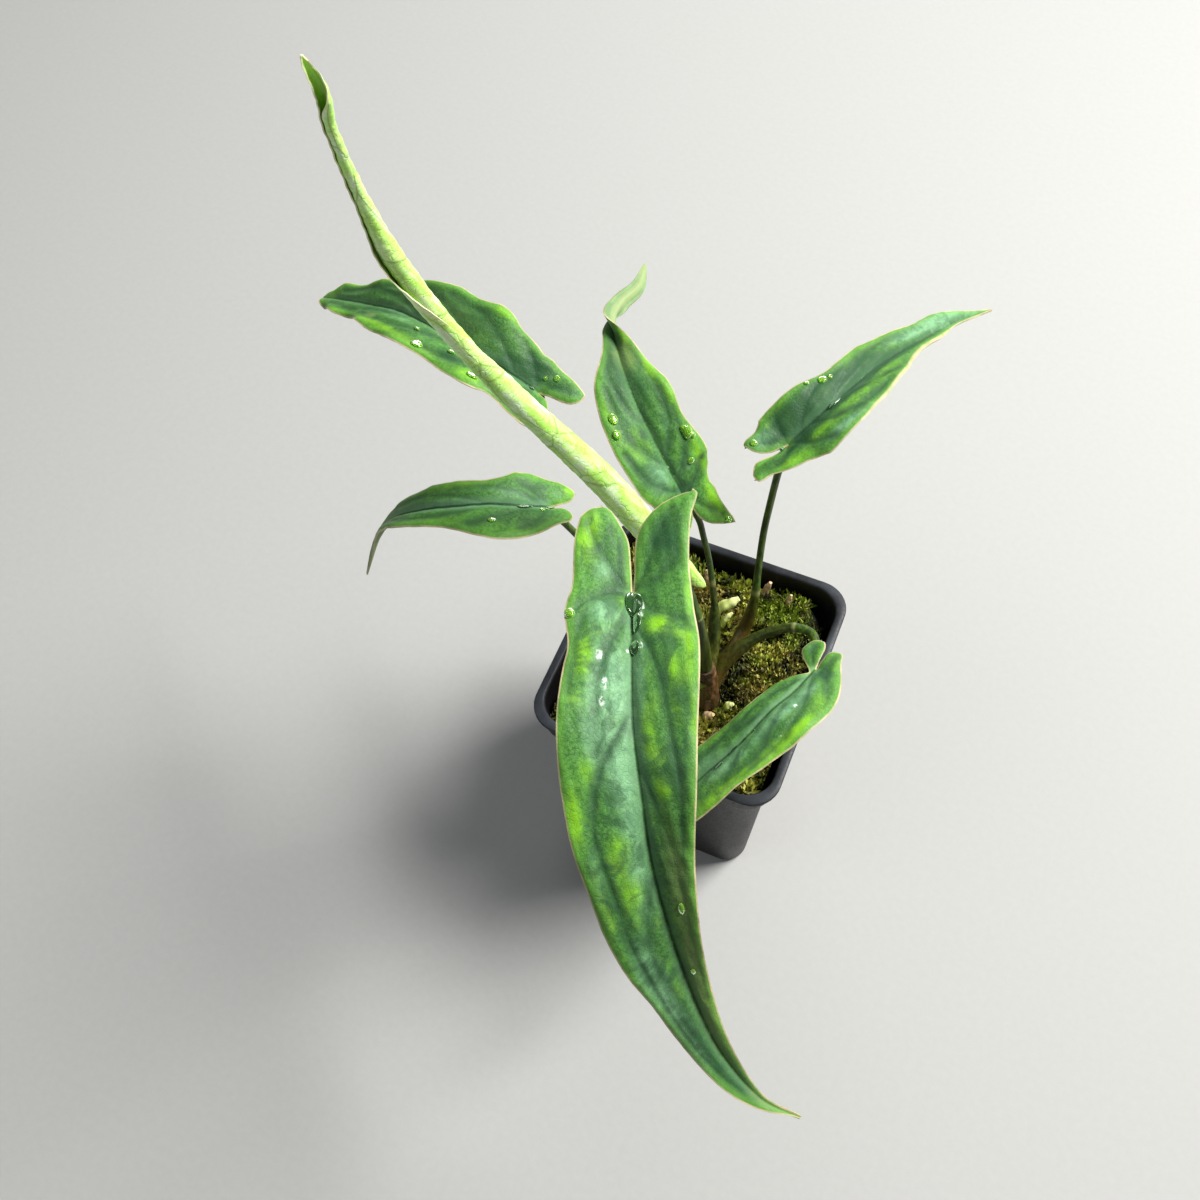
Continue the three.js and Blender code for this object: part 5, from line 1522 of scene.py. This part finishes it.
def tuft(name, shoots, tall, leaf_size, spread):
    leaves = []
    for _ in range(shoots):
        angle, far = dice.uniform(0, 6.28), spread * math.sqrt(dice.random())
        lean_x, lean_y = dice.uniform(-0.4, 0.4), dice.uniform(-0.4, 0.4)
        high = tall * dice.uniform(0.6, 1.1)
        for level in range(LEVELS):
            h = high * (0.25 + 0.75 * level / (LEVELS - 1))
            base = (far * math.cos(angle) + lean_x * h, far * math.sin(angle) + lean_y * h, h * 0.8)
            size = leaf_size * (1.15 - 0.1 * level)
            leaves.append(leaflet(size, size * 0.36, base, level * LEAF_TURN + dice.uniform(0, 120),
                                  20 + 12 * level + dice.uniform(-12, 12)))
    return join(name, leaves)


def outside_pot(x, y):
    x, y = abs(x), abs(y)
    near_corner = x > 26 and y > 26
    return near_corner and math.hypot(x - POT_CORNER_CENTRE, y - POT_CORNER_CENTRE) > POT_CORNER_REACH


def scatter(name, model, count, scales, lift, keep, material, seed):
    """Copies of a tuft over the moss bed, each with its own mesh, joined into one piece."""
    chance = random.Random(seed)
    copies = []
    while len(copies) < count:
        x, y = chance.uniform(-POT_REACH, POT_REACH), chance.uniform(-POT_REACH, POT_REACH)
        if not keep(x, y) or outside_pot(x, y) or from_stem(x, y) < STEM_CLEARANCE:
            continue
        copy = model.copy()
        copy.data = model.data.copy()
        bpy.context.collection.objects.link(copy)
        size = chance.uniform(*scales)
        turn = (Matrix.Rotation(chance.uniform(-0.35, 0.35), 4, "X")
                @ Matrix.Rotation(chance.uniform(0, 6.28), 4, "Z") @ Matrix.Scale(size, 4))
        place = Matrix.Translation((x, y, float(moss_height(x, y)) + lift))
        copy.data.transform(Matrix.Scale(MM, 4) @ place @ turn)
        paint(copy, "tint", chance.random())
        copies.append(copy)
    piece = join(name, copies)
    inner, outer = (-MOSS_WALL, -MOSS_WALL, 60), (MOSS_WALL, MOSS_WALL, MOSS_CEILING)
    place_corners(piece, np.clip(corners(piece) / MM, inner, outer) * MM)
    smooth(piece)
    bpy.data.objects.remove(model)
    finish(piece, None, "moss", material)


def patch_of(x, y, shift):
    """Above 0 in some parts of the pot and below 0 in others, so that each colour grows in patches."""
    return math.sin(0.21 * x + shift) * math.sin(0.24 * y - shift) + 0.5 * math.sin(0.5 * x - 0.4 * y + shift)


scatter("moss_heads_green", tuft("tuft_green", 13, 3.6, 1.9, 2.2), 420, (0.7, 1.9), -0.8,
        lambda x, y: patch_of(x, y, 1.0) > -0.9, green, 3)
scatter("moss_heads_yellow", tuft("tuft_yellow", 11, 3.6, 1.9, 1.9), 360, (0.7, 2.0), -0.6,
        lambda x, y: patch_of(x, y, 2.2) > -0.15, yellow, 4)
scatter("moss_heads_tan", tuft("tuft_tan", 7, 2.6, 1.6, 2.4), 130, (0.7, 1.4), -0.6,
        lambda x, y: patch_of(x, y, 4.4) > 0.25 or math.hypot(x - 10, y + 14) < 9, tan, 5)

# %% [markdown]
# ## Loose fibres
# Over the heads lie dead fibres, thin at both ends. They could be curves with a bevel, but slim rods of
# five sides do, and travel well. Each is bent at random through four places a little above the bed.

# %% Lay the fibres
FIBRE_CLEARANCE = 5
FIBRE_HEIGHT = (0.9, 2.2)


def thin_ends(share, angle):
    return 1 - 0.75 * abs(2 * share - 1) ** 3


def lay_fibres(name, count, thick, long, material, seed):
    chance = random.Random(seed)
    strands = []
    for _ in range(count):
        x, y, turn = chance.uniform(-30, 30), chance.uniform(-30, 30), chance.uniform(0, 6.28)
        if from_stem(x, y) < FIBRE_CLEARANCE:
            continue
        length = chance.uniform(*long)
        rows = []
        for k in range(4):
            far = (k / 3 - 0.5) * length
            bend = chance.uniform(-0.18, 0.18) * length
            px = np.clip(x + far * math.cos(turn) - bend * math.sin(turn), -POT_REACH, POT_REACH)
            py = np.clip(y + far * math.sin(turn) + bend * math.cos(turn), -POT_REACH, POT_REACH)
            z = moss_height(px, py) + chance.uniform(*FIBRE_HEIGHT)
            rows.append((px, py, z, thick * chance.uniform(0.7, 1.3)))
        piece, _, _ = rod("fibre", np.array(rows), 5, 6, thin_ends)
        paint(piece, "tip", 0.6)
        paint(piece, "tint", chance.random())
        strands.append(piece)
    piece = join(name, strands)
    smooth(piece)
    finish(piece, None, "moss", material)


lay_fibres("moss_fibres", 60, 0.13, (3, 8), tan, 6)
lay_fibres("moss_strands", 60, 0.2, (3, 6), yellow, 7)

# %% [markdown]
# ## Young shoots
# A few fat shoot tips stick out of the moss, some fresh and pale, some dry. Scattered ones would miss
# the photograph's places, so each is a short bent rod at its own place, knobbly like a bud.

# %% Set the shoot tips
SHOOT_TIPS = [
    ([(-0.5, 17, 79, 1.0), (1.2, 18.6, 84, 1.5), (4, 20.6, 86.5, 1.6), (6.5, 22.6, 88, 0.8)], young_tip),
    ([(3.8, 14.5, 80, 0.7), (4.2, 15.2, 83, 1.0), (5, 16.4, 85.6, 0.9), (6.2, 17.8, 87, 0.4)], young_tip),
    ([(12.5, 30.4, 80, 0.8), (12.8, 30.8, 85, 1.0), (13.6, 31.2, 88.4, 0.5)], dry_tip),
    ([(20, 28.8, 80, 0.7), (20.4, 29.2, 84.5, 0.9), (20.8, 30, 87.4, 0.4)], dry_tip),
    ([(9.6, -14.6, 77, 0.9), (10.4, -14.4, 81.4, 1.3), (12.2, -14, 83.4, 0.6)], dry_tip),
    ([(14.4, -9.5, 77, 0.8), (15, -9, 81.4, 1.1), (16.4, -8.4, 82.8, 0.5)], young_tip),
    ([(8.4, -3.6, 77, 0.7), (8.4, -3.2, 81.6, 1.0), (7.8, -2.4, 83.4, 0.5)], young_tip),
    ([(-5, 27, 79, 0.8), (-5.3, 27.6, 84.6, 1.1), (-6.2, 28.6, 87.4, 0.5)], dry_tip),
]


def knobbly(share, angle):
    return 1 + 0.1 * np.sin(3 * angle + 12 * share) + 0.08 * math.sin(25 * share)


for number, (rows, material) in enumerate(SHOOT_TIPS, 1):
    piece, angles, shares = rod(f"shoot_tip_{number}", np.array(rows, float), 28, 24, knobbly)
    paint(piece, "tip", shares)
    paint(piece, "tint", 0.5 + 0.3 * np.sin(3 * angles))
    smooth(piece)
    finish(piece, None, "moss", material)

# %% [markdown]
# ## Bark chips
# Dark chips lie among the heads. Cubes would show their straight edges, so each is a ball knocked out
# of round by waves, flattened and turned.

# %% Lay the chips
CHIP_PLACES = [(24, 14), (26, 9), (21, 21), (28, 18), (-12, 22),
               (-22, -8), (4, -26), (25, -20), (-26, 14), (17, 4)]
CHIP_LIFT = 1.1
chips, chance = [], random.Random(9)
for x, y in CHIP_PLACES:
    clear_selection()
    bpy.ops.mesh.primitive_ico_sphere_add(subdivisions=2, radius=1)
    piece = bpy.context.object
    lump = corners(piece)
    rough = 1 + 0.35 * np.sin(3.1 * lump[:, 0] + 5 * lump[:, 1] + x) * np.cos(4 * lump[:, 2] + y)
    size = np.array([chance.uniform(1, 1.9), chance.uniform(0.7, 1.2), chance.uniform(0.4, 0.7)])
    spin = Matrix.Rotation(chance.uniform(0, 6.28), 3, "Z")
    tilt = Matrix.Rotation(chance.uniform(-0.5, 0.5), 3, "X")
    lump = (lump * rough[:, None] * size) @ np.array(spin @ tilt).T
    place_corners(piece, (lump + (x, y, moss_height(x, y) + CHIP_LIFT)) * MM)
    paint(piece, "tip", 0.0)
    paint(piece, "tint", chance.random())
    chips.append(piece)
chips = join("bark_chips", chips)
smooth(chips, 30)
finish(chips, None, "moss", bark)

# %% [markdown]
# ## Water on the leaves
# The plant has just been sprayed: round beads on the blades, longer ones lying along the midribs. A
# sphere set on a leaf would stand off it. Each drop is a sphere flattened into a cap, and its corners
# are placed by the leaf's own surface, so it sits on the leaf however the leaf bends. Drops on a midrib
# let the dark line through, which their tone says.

# %% Lay the drops
DROP_CLEARANCE = 0.03
DROP_WOBBLE = 0.10


def water_material():
    net = Network("water", Transmission_Weight=0.68, IOR=1.33, Specular_IOR_Level=1.0)
    ripple = net.noise(500, 2, 0.5)
    net.colour = net.mix(ripple, (0.28, 0.6, 0.05), (0.42, 0.76, 0.12))
    net.layer((0.05, 0.16, 0.04), net.field("tone"))
    return net.done(net.ramp(ripple, 0, 1, 0, 0.03), net.bump(ripple, 0.00005, 0.2))


def drop(leaf, s0, x0, reach_s, reach_x, height, bend):
    clear_selection()
    bpy.ops.mesh.primitive_uv_sphere_add(segments=32, ring_count=20, radius=1)
    piece = bpy.context.object
    ball = corners(piece)
    long_drop = reach_s > 1.2 * reach_x
    wobble = 1 + DROP_WOBBLE * long_drop * np.sin(2 * np.arctan2(ball[:, 1], ball[:, 0]) + s0)
    ds, dx = ball[:, 0] * reach_s * wobble, ball[:, 1] * reach_x * wobble
    s, x = s0 + ds, x0 + dx + bend * (ds / reach_s) ** 2 - bend / 2
    rise = np.sqrt(np.clip(ball[:, 2], 0, 1)) * height
    outline = leaf["outline"][1 if x0 >= 0 else -1]
    outer = np.maximum(edge_at(outline, s), np.abs(x) + 0.01)
    from_edge = reach_of_line(drawn_line(outline, 8), s, np.abs(x))
    relief = leaf_relief(leaf, s, x, from_edge, outer)
    places, normals = leaf_points(leaf, s, x, np.zeros(len(s)), outer, relief)
    place_corners(piece, (places + normals * (rise + DROP_CLEARANCE)[:, None]) * MM)
    paint(piece, "tone", float(abs(x0) < 1))
    return piece


water = water_material()
for name, leaf in LEAVES.items():
    piece = join(f"water_{name}", [drop(leaf, *numbers) for numbers in leaf["drops"]])
    smooth(piece, 80)
    finish(piece, None, "leaf_blade", water)

# %% [markdown]
# ## Studio
# A pale floor and three big soft lamps. The sun in the photograph comes from the upper right and leaves
# long soft shines, so the key lamp is there. All of this is staging and is no part of the plant.

# %% Floor and lamps
clear_selection()
bpy.ops.mesh.primitive_plane_add(size=6)
floor = bpy.context.object
floor.name = "floor"
net = Network("floor_paper", Specular_IOR_Level=0.3)
grain = net.noise(400, 3, 0.5)
net.colour = net.mix(grain, (0.38, 0.38, 0.37), (0.42, 0.42, 0.41))
floor.data.materials.append(net.done(net.ramp(grain, 0, 1, 0.7, 0.85), net.bump(grain, 0.0001, 0.3)))
floor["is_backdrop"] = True

LAMP_AIM = (0, -0.02, 0.15)


def lamp(name, place, size, power, colour):
    bpy.ops.object.light_add(type="AREA", location=place)
    light = bpy.context.object
    light.name = name
    light.data.shape = "RECTANGLE"
    light.data.size, light.data.size_y = size
    light.data.energy = power
    light.data.color = colour
    way = Vector(LAMP_AIM) - Vector(place)
    light.rotation_mode = "QUATERNION"
    light.rotation_quaternion = way.to_track_quat("-Z", "Y")


lamp("key_lamp", (0.62, 0.58, 1.13), (0.6, 0.6), 40, (1.0, 0.99, 0.96))
lamp("fill_lamp", (-0.9, -0.7, 0.9), (0.9, 0.9), 3.5, (0.92, 0.96, 1.0))
lamp("back_lamp", (-0.3, 1.1, 0.6), (0.7, 0.5), 3.5, (1.0, 1.0, 1.0))

world = bpy.data.worlds.new("studio")
world.use_nodes = True
sky = world.node_tree.nodes["Background"].inputs
sky["Color"].default_value = (0.82, 0.86, 0.92, 1)
sky["Strength"].default_value = 0.15
bpy.context.scene.world = world
bpy.context.scene.view_settings.view_transform = "Standard"
print("studio ready")

# %% [markdown] ## Size and end The finished plant may not outgrow its CAD box, so both boxes are
# written down side by side.

visual_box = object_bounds()
for label, box in (("CAD", cad_box), ("visual", visual_box)):
    print(label, [[round(v / MM, 1) for v in corner] for corner in box])
